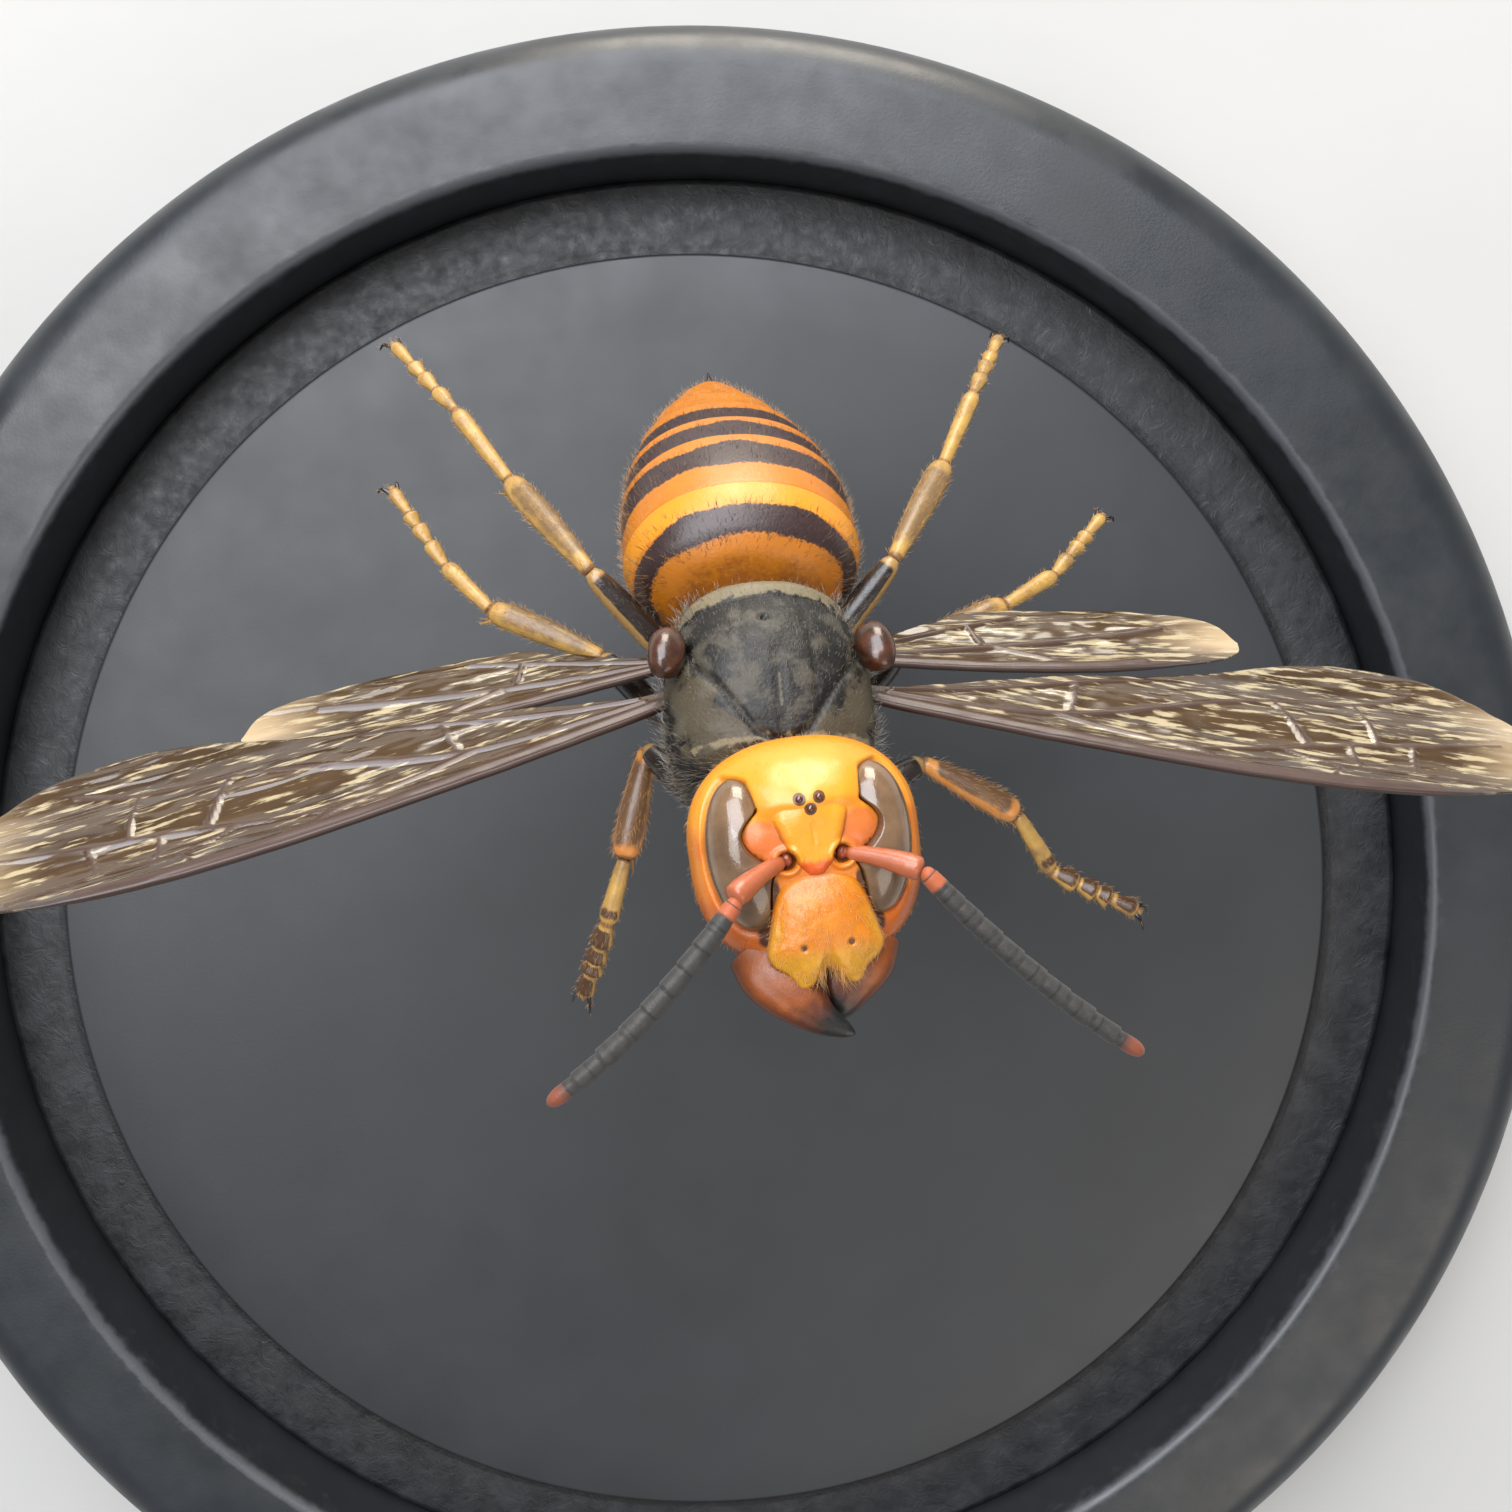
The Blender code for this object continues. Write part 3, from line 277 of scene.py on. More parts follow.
@dataclass(frozen=True)
class Finish:
    """A surface finish: its ground colour, mottling, painted layers, gloss and fine relief.

    Lengths that end in mm are real sizes on the object.
    """

    name: str
    colour: str
    mottle: str
    roughness: float
    mottle_mm: float = 1.5
    mottle_cover: float = 0.6
    rough_spread: float = 0.08
    layers: tuple[Layer, ...] = ()
    grain: Grain = Grain.PORES
    grain_mm: float = 0.15
    depth_mm: float = 0.01
    stretch: Spot = (1.0, 1.0, 1.0)
    space: Space = Space.OBJECT
    ior: float = 1.5
    coat: float = 0.0
    coat_roughness: float = 0.1
    sheen: float = 0.0
    subsurface: float = 0.0
    metallic: float = 0.0

    def build(self) -> bpy.types.Material:
        """Makes the material, or returns the one made before.

        Returns:
            The material with its nodes.
        """
        made = bpy.data.materials.get(self.name)
        if made:
            return made
        made = bpy.data.materials.new(self.name)
        made.use_nodes = True
        tree = made.node_tree
        shader = tree.nodes["Principled BSDF"]
        constants = {
            "IOR": self.ior, "Coat Weight": self.coat, "Coat Roughness": self.coat_roughness,
            "Sheen Weight": self.sheen, "Metallic": self.metallic,
            "Subsurface Weight": self.subsurface, "Subsurface Scale": SCATTER_MM * MM,
        }
        for key, value in constants.items():
            shader.inputs[key].default_value = value
        place = self._place(tree)
        colour, roughness = self._ground(tree, place)
        for layer in self.layers:
            colour, roughness = self._lay(tree, place, layer, colour, roughness)
        tree.links.new(colour, shader.inputs["Base Color"])
        tree.links.new(roughness, shader.inputs["Roughness"])
        tree.links.new(self._relief(tree, place), shader.inputs["Normal"])
        return made

    def _place(self, tree: Tree) -> Socket:
        """Adds the pattern's coordinates.

        Args:
            tree: The material's node tree.

        Returns:
            The coordinates in millimetres, stretched along the pattern.
        """
        if self.space is Space.OBJECT:
            source = add_node(tree, "ShaderNodeTexCoord").outputs["Object"]
            scale = tuple(share / MM for share in self.stretch)
        else:
            source = add_node(tree, "ShaderNodeAttribute", {"attribute_name": "flat"}).outputs["Vector"]
            scale = self.stretch
        return add_node(tree, "ShaderNodeMapping", {"Scale": scale}, {"Vector": source}).outputs["Vector"]

    def _ground(self, tree: Tree, place: Socket) -> tuple[Socket, Socket]:
        """Adds the mottled ground colour and the roughness that varies on a finer scale.

        Args:
            tree: The material's node tree.
            place: The pattern's coordinates.

        Returns:
            The colour and the roughness.
        """
        clouds = []
        for size_mm in (self.mottle_mm, self.mottle_mm * 0.4):
            settings = {"Scale": 1 / size_mm, "Detail": 3.0, "Roughness": 0.6}
            clouds.append(add_node(tree, "ShaderNodeTexNoise", settings, {"Vector": place}).outputs["Fac"])
        cover = add_node(
            tree, "ShaderNodeMapRange",
            {"From Min": 0.35, "From Max": 0.68, "To Max": self.mottle_cover}, {"Value": clouds[0]},
        ).outputs["Result"]
        colour = add_node(
            tree, "ShaderNodeMix", {"data_type": "RGBA", 6: linear(self.colour), 7: linear(self.mottle)},
            {0: cover},
        ).outputs[2]
        low, high = self.roughness - self.rough_spread, self.roughness + self.rough_spread
        rough = add_node(
            tree, "ShaderNodeMapRange",
            {"From Min": 0.3, "From Max": 0.7, "To Min": max(low, 0.02), "To Max": min(high, 1.0)},
            {"Value": clouds[1]},
        ).outputs["Result"]
        return colour, rough

    def _lay(
        self, tree: Tree, place: Socket, layer: Layer, colour: Socket, roughness: Socket
    ) -> tuple[Socket, Socket]:
        """Lays one painted colour over what is there, with its ragged edge.

        Args:
            tree: The material's node tree.
            place: The pattern's coordinates.
            layer: The colour to lay.
            colour: The colour so far.
            roughness: The roughness so far.

        Returns:
            The colour and the roughness with the layer on them.
        """
        painted = add_node(tree, "ShaderNodeAttribute", {"attribute_name": layer.attribute}).outputs["Fac"]
        if layer.ragged:
            settings = {"Scale": 1 / layer.grain_mm, "Detail": 4.0, "Roughness": 0.6}
            grain = add_node(tree, "ShaderNodeTexNoise", settings, {"Vector": place}).outputs["Fac"]
            shake = add_node(
                tree, "ShaderNodeMapRange",
                {"From Min": 0.25, "From Max": 0.75, "To Min": -layer.ragged, "To Max": layer.ragged},
                {"Value": grain},
            ).outputs["Result"]
            moved = add_node(tree, "ShaderNodeMath", {"operation": "ADD"}, {0: painted, 1: shake})
            painted = moved.outputs[0]
        cover = add_node(
            tree, "ShaderNodeMapRange",
            {"interpolation_type": "SMOOTHSTEP", "From Min": layer.level - layer.edge,
             "From Max": layer.level + layer.edge, "To Max": layer.cover},
            {"Value": painted},
        ).outputs["Result"]
        colour = add_node(
            tree, "ShaderNodeMix", {"data_type": "RGBA", 7: linear(layer.colour)}, {0: cover, 6: colour}
        ).outputs[2]
        if layer.roughness is not None:
            roughness = add_node(
                tree, "ShaderNodeMix", {"data_type": "FLOAT", 3: layer.roughness}, {0: cover, 2: roughness}
            ).outputs[0]
        return colour, roughness

    def _relief(self, tree: Tree, place: Socket) -> Socket:
        """Adds the fine relief.

        Args:
            tree: The material's node tree.
            place: The pattern's coordinates.

        Returns:
            The bumped normal.
        """
        settings = {
            Grain.PORES: {"Detail": 2.0, "Roughness": 0.6},
            Grain.FACETS: {"feature": "F1"},
            Grain.WRINKLES: {"noise_type": "RIDGED_MULTIFRACTAL", "Detail": 3.0, "Distortion": 0.4},
            Grain.SCUFFS: {"Detail": 8.0, "Roughness": 0.7, "Distortion": 1.5},
        }[self.grain]
        kind, height = "ShaderNodeTexNoise", "Fac"
        if self.grain is Grain.FACETS:
            kind, height = "ShaderNodeTexVoronoi", "Distance"
        pattern = add_node(tree, kind, {"Scale": 1 / self.grain_mm, **settings}, {"Vector": place})
        return add_node(
            tree, "ShaderNodeBump", {"Strength": 1.0, "Distance": self.depth_mm * MM},
            {"Height": pattern.outputs[height]},
        ).outputs["Normal"]


class Form:
    """A mesh in the making, in millimetres in its owner's frame."""

    def __init__(self, mesh: bmesh.types.BMesh) -> None:
        """Takes a bmesh to shape."""
        self.mesh = mesh

    @classmethod
    def grid(cls, around: int, along: int) -> tuple["Form", Array, Array]:
        """A flat grid, to be bent round into a closed skin.

        Args:
            around: How many faces round it.
            along: How many faces from its first end to its last.

        Returns:
            The form, with flat painted on it, and each point's shares round and along, from 0 to 1.
        """
        mesh = bmesh.new()
        bmesh.ops.create_grid(mesh, x_segments=around, y_segments=along, size=0.5)
        form = cls(mesh)
        shares = form.points()[:, :2] + 0.5
        form.paint_place(shares)
        return form, shares[:, 0], shares[:, 1]

    @classmethod
    def swept(
        cls,
        path: Array,
        widths: Array,
        sides: int = 14,
        flat: Array | float = 1.0,
        up: Vector = Vector((0, 0, 1)),
    ) -> "Form":
        """A ring drawn along a path, by one extrusion for each point, and closed at both ends.

        Args:
            path: The points of its middle line.
            widths: The radius at each point.
            sides: How many faces round it.
            flat: The share of the radius that is left in the up direction.
            up: The direction that the flattening takes.

        Returns:
            The form, painted with along (0 to 1) and upper (-1 to 1).
        """
        flats = np.broadcast_to(flat, len(path))
        mesh = bmesh.new()
        layers = {name: mesh.verts.layers.float.new(name) for name in ("along", "upper")}
        place = mesh.verts.layers.float_vector.new("flat")
        ring = bmesh.ops.create_circle(mesh, cap_ends=False, segments=sides, radius=1.0)["verts"]
        edges = mesh.edges[:]
        reach = np.r_[0, np.cumsum(np.linalg.norm(np.diff(path, axis=0), axis=1))]
        before = Matrix.Identity(4)
        for index, point in enumerate(path):
            ahead = Vector(path[min(index + 1, len(path) - 1)] - path[max(index - 1, 0)]).normalized()
            across = ahead.cross(up).normalized()
            over = across.cross(ahead).normalized()
            turn = Matrix((across, over, ahead)).transposed().to_4x4()
            size = Matrix.Diagonal((widths[index], widths[index] * flats[index], 1.0, 1.0))
            now = Matrix.Translation(Vector(point)) @ turn @ size
            if index:
                drawn = bmesh.ops.extrude_edge_only(mesh, edges=edges)["geom"]
                ring = [item for item in drawn if isinstance(item, bmesh.types.BMVert)]
                edges = [edge for edge in drawn if isinstance(edge, bmesh.types.BMEdge)]
            bmesh.ops.transform(mesh, matrix=now @ before.inverted(), verts=ring)
            before = now
            for vert in ring:
                out = (vert.co - Vector(point)).normalized()
                angle = math.atan2(out.dot(over), out.dot(across))
                vert[layers["along"]] = reach[index] / reach[-1]
                vert[layers["upper"]] = math.sin(angle)
                vert[place] = Vector((angle * widths[index], reach[index], 0))
        bmesh.ops.holes_fill(mesh, edges=[edge for edge in mesh.edges if edge.is_boundary], sides=sides)
        return cls(mesh)

    @classmethod
    def ball(cls, matrix: Matrix, around: int = 40, along: int = 28) -> "Form":
        """A sphere stretched, turned and set in place, to be shaped further.

        Args:
            matrix: The place, turn and radii of the ball.
            around: How many faces round it.
            along: How many faces from pole to pole.

        Returns:
            The form.
        """
        mesh = bmesh.new()
        bmesh.ops.create_uvsphere(mesh, u_segments=around, v_segments=along, radius=1.0, matrix=matrix)
        return cls(mesh)

    def points(self) -> Array:
        """Every point, one row each."""
        return np.array([vert.co[:] for vert in self.mesh.verts])

    def move(self, points: Array) -> None:
        """Sets every point."""
        for vert, point in zip(self.mesh.verts, points):
            vert.co = point

    def paint(self, name: str, values: Array) -> None:
        """Keeps a number at every point, which a finish can read by name.

        Args:
            name: The attribute's name.
            values: One number for each point.
        """
        layers = self.mesh.verts.layers.float
        layer = layers.get(name) or layers.new(name)
        for vert, value in zip(self.mesh.verts, values):
            vert[layer] = float(value)

    def painted(self, name: str) -> Array:
        """The numbers kept at every point under a name."""
        layer = self.mesh.verts.layers.float[name]
        return np.array([vert[layer] for vert in self.mesh.verts])

    def paint_place(self, places: Array) -> None:
        """Keeps each point's place on the unrolled surface.

        Args:
            places: One place in the plane for each point.
        """
        layers = self.mesh.verts.layers.float_vector
        layer = layers.get("flat") or layers.new("flat")
        for vert, place in zip(self.mesh.verts, places):
            vert[layer] = (place[0], place[1], 0)

    def relieve(self, height: Callable[[Array], Array]) -> "Form":
        """Moves every point along its normal.

        Args:
            height: Gives the height in millimetres at each of many points.

        Returns:
            This form.
        """
        self.tidy()
        self.mesh.normal_update()
        normals = np.array([vert.normal[:] for vert in self.mesh.verts])
        points = self.points()
        self.move(points + normals * height(points)[:, None])
        return self

    def tidy(self) -> None:
        """Merges doubled points and turns the faces outwards."""
        bmesh.ops.remove_doubles(self.mesh, verts=self.mesh.verts, dist=WELD_MM)
        bmesh.ops.recalc_face_normals(self.mesh, faces=self.mesh.faces)

    def cap(self) -> None:
        """Merges the seam of a bent grid and closes the small ring at either end."""
        self.tidy()
        edges = [edge for edge in self.mesh.edges if edge.is_boundary]
        bmesh.ops.holes_fill(self.mesh, edges=edges, sides=0)
        bmesh.ops.poke(self.mesh, faces=[face for face in self.mesh.faces if len(face.verts) > 4])

    def join(self, *others: "Form") -> "Form":
        """Takes other forms' meshes into this one.

        Args:
            others: The forms, which are used up.

        Returns:
            This form.
        """
        for other in others:
            kept = bpy.data.meshes.new("part")
            other.mesh.to_mesh(kept)
            other.mesh.free()
            self.mesh.from_mesh(kept)
            bpy.data.meshes.remove(kept)
        return self

    def place(
        self, name: str, frame: Matrix, finish: Finish, slot: str, replaces: Sequence[str] = ()
    ) -> Piece:
        """Makes the object, in metres in the row frame, and sets it on the part.

        Args:
            name: The piece's name.
            frame: The frame that the form was shaped in.
            finish: What it is made of.
            slot: The record's material slot; not used.
            replaces: The solids that it stands for.

        Returns:
            The placed object.
        """
        self.tidy()
        self.mesh.transform(frame)
        data = bpy.data.meshes.new(name)
        self.mesh.to_mesh(data)
        self.mesh.free()
        data.shade_smooth()
        return set_piece(name, data, finish, replaces)


def set_piece(
    name: str, data: bpy.types.Mesh, finish: Finish, replaces: Sequence[str] = ()
) -> Piece:
    """Links a finished mesh as a piece that rides on the part, and reports it.

    Args:
        name: The piece's name.
        data: The mesh, in metres in the row frame.
        finish: What it is made of.
        replaces: The solids that it stands for.

    Returns:
        The linked object.
    """
    data.materials.append(finish.build())
    piece = bpy.data.objects.new(name, data)
    bpy.context.scene.collection.objects.link(piece)
    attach(piece, "root")
    if replaces:
        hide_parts(*replaces)
    LOG.info("%s: %d faces", name, len(data.polygons))
    return piece


@dataclass(frozen=True)
class Coat:
    """Hairs set over a skin, each a thin three-sided spine that bends along the lie of the coat.

    Lengths are in millimetres. Lean runs from 0, upright, to 1, flat.
    """

    name: str
    finish: Finish
    slot: str
    count: int
    length: float
    width: float
    lean: float
    lie: Spot
    where: Callable[[Array], Array]
    spread: float = 0.35
    shake: float = 0.25
    curl: float = 0.25
    bend: float = 0.55
    middle_width: float = 0.75
    root_depth: float = 0.03

    def grow(self, skin: Piece, frame: Matrix, seed: int) -> None:
        """Sets the hairs on a skin.

        Args:
            skin: The placed piece that they grow on.
            frame: The frame in which where and lie are given.
            seed: Starts the random draw.
        """
        chance = np.random.default_rng(seed)
        points, triangles, flat = self._read(skin, frame)
        corners = points[triangles]
        normal = np.cross(corners[:, 1] - corners[:, 0], corners[:, 2] - corners[:, 0])
        weight = np.linalg.norm(normal, axis=1) * self.where(corners.mean(axis=1))
        picked = chance.choice(len(triangles), self.count, p=weight / weight.sum())
        shares = chance.dirichlet((1, 1, 1), self.count)
        root = (corners[picked] * shares[:, :, None]).sum(axis=1)
        patch = (flat[triangles[picked]] * shares[:, :, None]).sum(axis=1)
        up = unit(normal)[picked]
        lie = unit(np.array(self.lie) - up * (up @ np.array(self.lie))[:, None], 1e-6)
        out = unit(up * (1 - self.lean) + lie * self.lean + chance.normal(0, self.shake, root.shape))
        length = self.length * (1 + self.spread * chance.uniform(-1, 1, self.count))[:, None]
        middle = root + out * length * self.bend
        tip = root + (out + lie * self.curl) * length
        self._build(frame, root - up * self.root_depth, middle, tip, patch)

    def _read(self, skin: Piece, frame: Matrix) -> tuple[Array, Array, Array]:
        """Reads the mesh of the skin.

        Args:
            skin: The placed piece that the hairs grow on.
            frame: The frame to give its points in.

        Returns:
            Its points, its triangles and each point's place on the unrolled skin, from 0 to 1.
        """
        data = skin.data
        data.calc_loop_triangles()
        points = np.empty(len(data.vertices) * 3)
        data.vertices.foreach_get("co", points)
        back = np.array(frame.inverted())
        points = points.reshape(-1, 3) @ back[:3, :3].T + back[:3, 3]
        triangles = np.empty(len(data.loop_triangles) * 3, int)
        data.loop_triangles.foreach_get("vertices", triangles)
        flat = np.empty(len(data.vertices) * 3)
        data.attributes["flat"].data.foreach_get("vector", flat)
        flat = flat.reshape(-1, 3)[:, :2]
        flat = (flat - flat.min(axis=0)) / np.ptp(flat, axis=0)
        return points, triangles.reshape(-1, 3), flat

    def _build(
        self, frame: Matrix, root: Array, middle: Array, tip: Array, patch: Array
    ) -> None:
        """Joins the hairs into one mesh, each with a small patch of its own in the baked map.

        Args:
            frame: The frame that the points are in.
            root: Where each hair starts.
            middle: Where it bends.
            tip: Where it ends.
            patch: Its root's place on the unrolled skin, from 0 to 1.
        """
        ahead = tip - root
        side = unit(np.cross(ahead, (0.31, 0.52, 0.79)), 1e-9)
        other = unit(np.cross(ahead, side), 1e-9)
        rings = []
        for centre, width in ((root, self.width), (middle, self.width * self.middle_width)):
            for turn in (0, 2 * math.pi / 3, 4 * math.pi / 3):
                rings.append(centre + (side * math.cos(turn) + other * math.sin(turn)) * width / 2)
        points = np.stack([*rings, tip], axis=1)
        faces = np.array([
            (0, 1, 4), (0, 4, 3), (1, 2, 5), (1, 5, 4), (2, 0, 3), (2, 3, 5),
            (3, 4, 6), (4, 5, 6), (5, 3, 6), (2, 1, 0),
        ])
        count, each = len(root), points.shape[1]
        place = np.array(frame)
        points = points.reshape(-1, 3) @ place[:3, :3].T + place[:3, 3]
        triangles = (faces[None] + (np.arange(count) * each)[:, None, None]).reshape(-1, 3)
        data = bpy.data.meshes.new(self.name)
        data.from_pydata(points, [], triangles)
        data.shade_smooth()
        along = np.tile([0, 0, 0, self.bend, self.bend, self.bend, 1], count).astype(np.float32)
        data.attributes.new("along", "FLOAT", "POINT").data.foreach_set("value", along)
        bake = data.uv_layers.new(name="OFBake")
        corner = np.array([(0, 0), (0.003, 0), (0, 0.003)])
        places = np.repeat(patch * 0.995, len(faces), axis=0)[:, None, :] + corner[None]
        bake.data.foreach_set("uv", places.astype(np.float32).ravel())
        set_piece(self.name, data, self.finish)


def between(stations: Sequence[Sequence[float]], places: Array) -> Array:
    """Reads a table of stations at many places, on smooth curves through its rows.

    Args:
        stations: Rows that start with their place, in rising order.
        places: The places to read it at.

    Returns:
        The other values of the table, one row for each place.
    """
    rows = np.array(stations, float)
    index = np.clip(np.searchsorted(rows[:, 0], places, side="right") - 1, 0, len(rows) - 2)
    t = ((places - rows[index, 0]) / (rows[index + 1, 0] - rows[index, 0])).clip(0, 1)[:, None]
    a, b, c, d = (rows[np.clip(index + offset, 0, len(rows) - 1), 1:] for offset in (-1, 0, 1, 2))
    return eased(a, b, c, d, t)


def rounded(values: Array, fullness: Array | float) -> Array:
    """A sine or cosine pushed outwards, so that a section is squarer than an ellipse."""
    return np.copysign(np.abs(values) ** (2 / fullness), values)


def around_angle(shares: Array) -> Array:
    """The angle round a body from the share round it, with the seam underneath."""
    return (shares - 0.25) * 2 * math.pi


@dataclass
class Gaster:
    """The abdomen behind the waist: six plates that lap over each other, banded orange and dark brown."""

    stations: tuple[tuple[float, ...], ...] = (
        (6.0, 0.8, -0.2, -1.9), (6.5, 2.2, 1.0, -2.7), (7.2, 4.0, 2.5, -3.8), (8.2, 5.2, 3.45, -4.8),
        (9.4, 5.75, 3.9, -5.4), (10.8, 6.0, 4.0, -5.7), (12.8, 6.0, 3.95, -5.75), (14.9, 5.75, 3.6, -5.5),
        (17.0, 5.3, 2.9, -5.1), (19.0, 4.65, 2.05, -4.6), (21.0, 3.8, 1.05, -4.1), (23.0, 2.7, 0.05, -3.4),
        (24.4, 1.7, -0.7, -2.8), (25.2, 0.8, -1.2, -2.2),
    )
    around: int = 168
    plate_rows: int = 30
    fullness: float = 2.15
    plate_ends: tuple[float, ...] = (6.0, 10.6, 14.6, 16.95, 19.6, 21.9, 25.2)
    bow: float = 0.55
    lip: float = 0.14
    # Where the upper plates fold over the lower ones: angles round the body, and how wide and deep
    side_folds: tuple[float, float] = (338.0, 202.0)
    fold_spread: float = 5.0
    fold_depth: float = 0.16
    dark_bands: tuple[tuple[float, float], ...] = (
        (7.86, 9.3), (12.15, 13.75), (14.6, 16.2), (16.95, 18.6),
    )
    yellow_band: tuple[float, float] = (9.3, 10.6)
    sting: tuple[Spot, ...] = ((0, 24.9, -1.7), (0, 25.9, -1.66), (0, 26.75, -1.7))

    cuticle: Finish = Finish(
        # Bristly chitin: a thick varnish-like shell with tiny hair pits, satin with a soft broad glint
        "gaster_chitin", "B96D0F", "A25E0C", 0.4, mottle_mm=2.2, mottle_cover=0.55, grain_mm=0.17,
        depth_mm=0.02, coat=0.18, coat_roughness=0.3, subsurface=0.08,
        layers=(
            Layer("fore", "7E4511", 0.0, 0.35, 0.3, 0.3, cover=0.8),
            Layer("yellow", "CF8512", 0.0, 0.12, 0.1, 0.35),
            Layer("dark", "33211F", 0.0, 0.07, 0.12, 0.16, roughness=0.38),
            Layer("belly", "4A2A14", 0.3, 0.5, 0.3, 0.8, cover=0.7),
        ),
    )
    sting_cuticle: Finish = Finish(
        # The sting is a hard dark needle of polished chitin
        "sting_chitin", "1C1210", "3A2216", 0.22, mottle_mm=0.4, depth_mm=0.004, coat=0.4,
    )

    def rows(self) -> Array:
        """Spaces the rows of faces along the body, close together at each plate's rear lip.

        Returns:
            The rows' places in millimetres.
        """
        found = []
        for start, end in zip(self.plate_ends[:-1], self.plate_ends[1:]):
            found.append(np.linspace(start + 0.05, end - 0.22, self.plate_rows))
            found.append(np.array([end - 0.14, end - 0.08, end - 0.04, end - 0.015]))
        return np.concatenate(found)

    def build_skin(self) -> Piece:
        """The banded shell in one piece, with its lapped lips and its side folds.

        Returns:
            The placed skin.
        """
        rows = self.rows()
        last = len(rows) - 1
        form, around, along = Form.grid(self.around, last)
        index = np.rint(along * last).astype(int)
        place = rows[index]
        half, top, bottom = between(self.stations, place).T
        angle = around_angle(around)
        number = np.clip(np.searchsorted(self.plate_ends, place, side="right") - 1, 0, 5)
        starts, ends = np.array(self.plate_ends)[number], np.array(self.plate_ends)[number + 1]
        share = (place - starts) / (ends - starts)
        more = self.lip * share**3 - 0.07 * step(share, 0.06, 0.0) * (number > 0)
        more -= 0.10 * step(np.abs(ends - place), 0.06, 0.0)
        degrees = np.degrees(angle) % 360
        fold = sum(ridge(degrees - middle, self.fold_spread) for middle in self.side_folds)
        more -= self.fold_depth * fold * step(place, 7.0, 8.5)
        shut = np.where((index == 0) | (index == last), 0.25, 1.0)
        x = rounded(np.cos(angle), self.fullness) * (half + more) * shut
        height = (top - bottom) / 2
        z = (top + bottom) / 2 + rounded(np.sin(angle), self.fullness) * (height + more) * shut
        bowed = place - self.bow * (x / 6) ** 2 * step(place, 6.6, 9.0)
        form.move(np.stack([x, bowed, z], axis=1))
        form.cap()
        self._paint(form)
        slots = [f"abdomen_segment_{number}" for number in range(1, 7)]
        return form.place("gaster_skin", BODY_FRAME, self.cuticle, "gaster_cuticle", slots)

    def _paint(self, form: Form) -> None:
        """Marks the bands as distances in millimetres, wavier down the sides.

        Args:
            form: The skin, to be painted.
        """
        points = form.points()
        x, y, z = points.T
        side = np.abs(x) / 6.0
        y = y + self.bow * side**2 * step(y, 6.6, 9.0)
        wave = 0.16 * ripple(points, 0.5, 3.0)
        dark = np.full(len(points), -5.0)
        for number, (start, end) in enumerate(self.dark_bands):
            bend = 0.55 * side**2 if number == 0 else -0.3 * side**2
            dip = 0.3 * ridge(x, 1.1) if number in (1, 2) else 0.0
            dark = np.maximum(dark, np.minimum(y - start + wave, end + dip - bend * 0.6 - y + wave))
        form.paint("dark", dark)
        start, end = self.yellow_band
        form.paint("yellow", np.minimum(y - start + 0.1, end - y + 0.02))
        form.paint("fore", 6.95 - y + 0.3 * ripple(points, 0.9, 8.0))
        form.paint("belly", -z * 0.35 - 0.9)

    def build_sting(self) -> None:
        """The sting's needle, drawn out from its sheath."""
        form = Form.swept(curve(self.sting, 12), np.linspace(0.3, 0.03, 12), 12)
        form.place("sting_needle", BODY_FRAME, self.sting_cuticle, "black_cuticle", ["sting"])


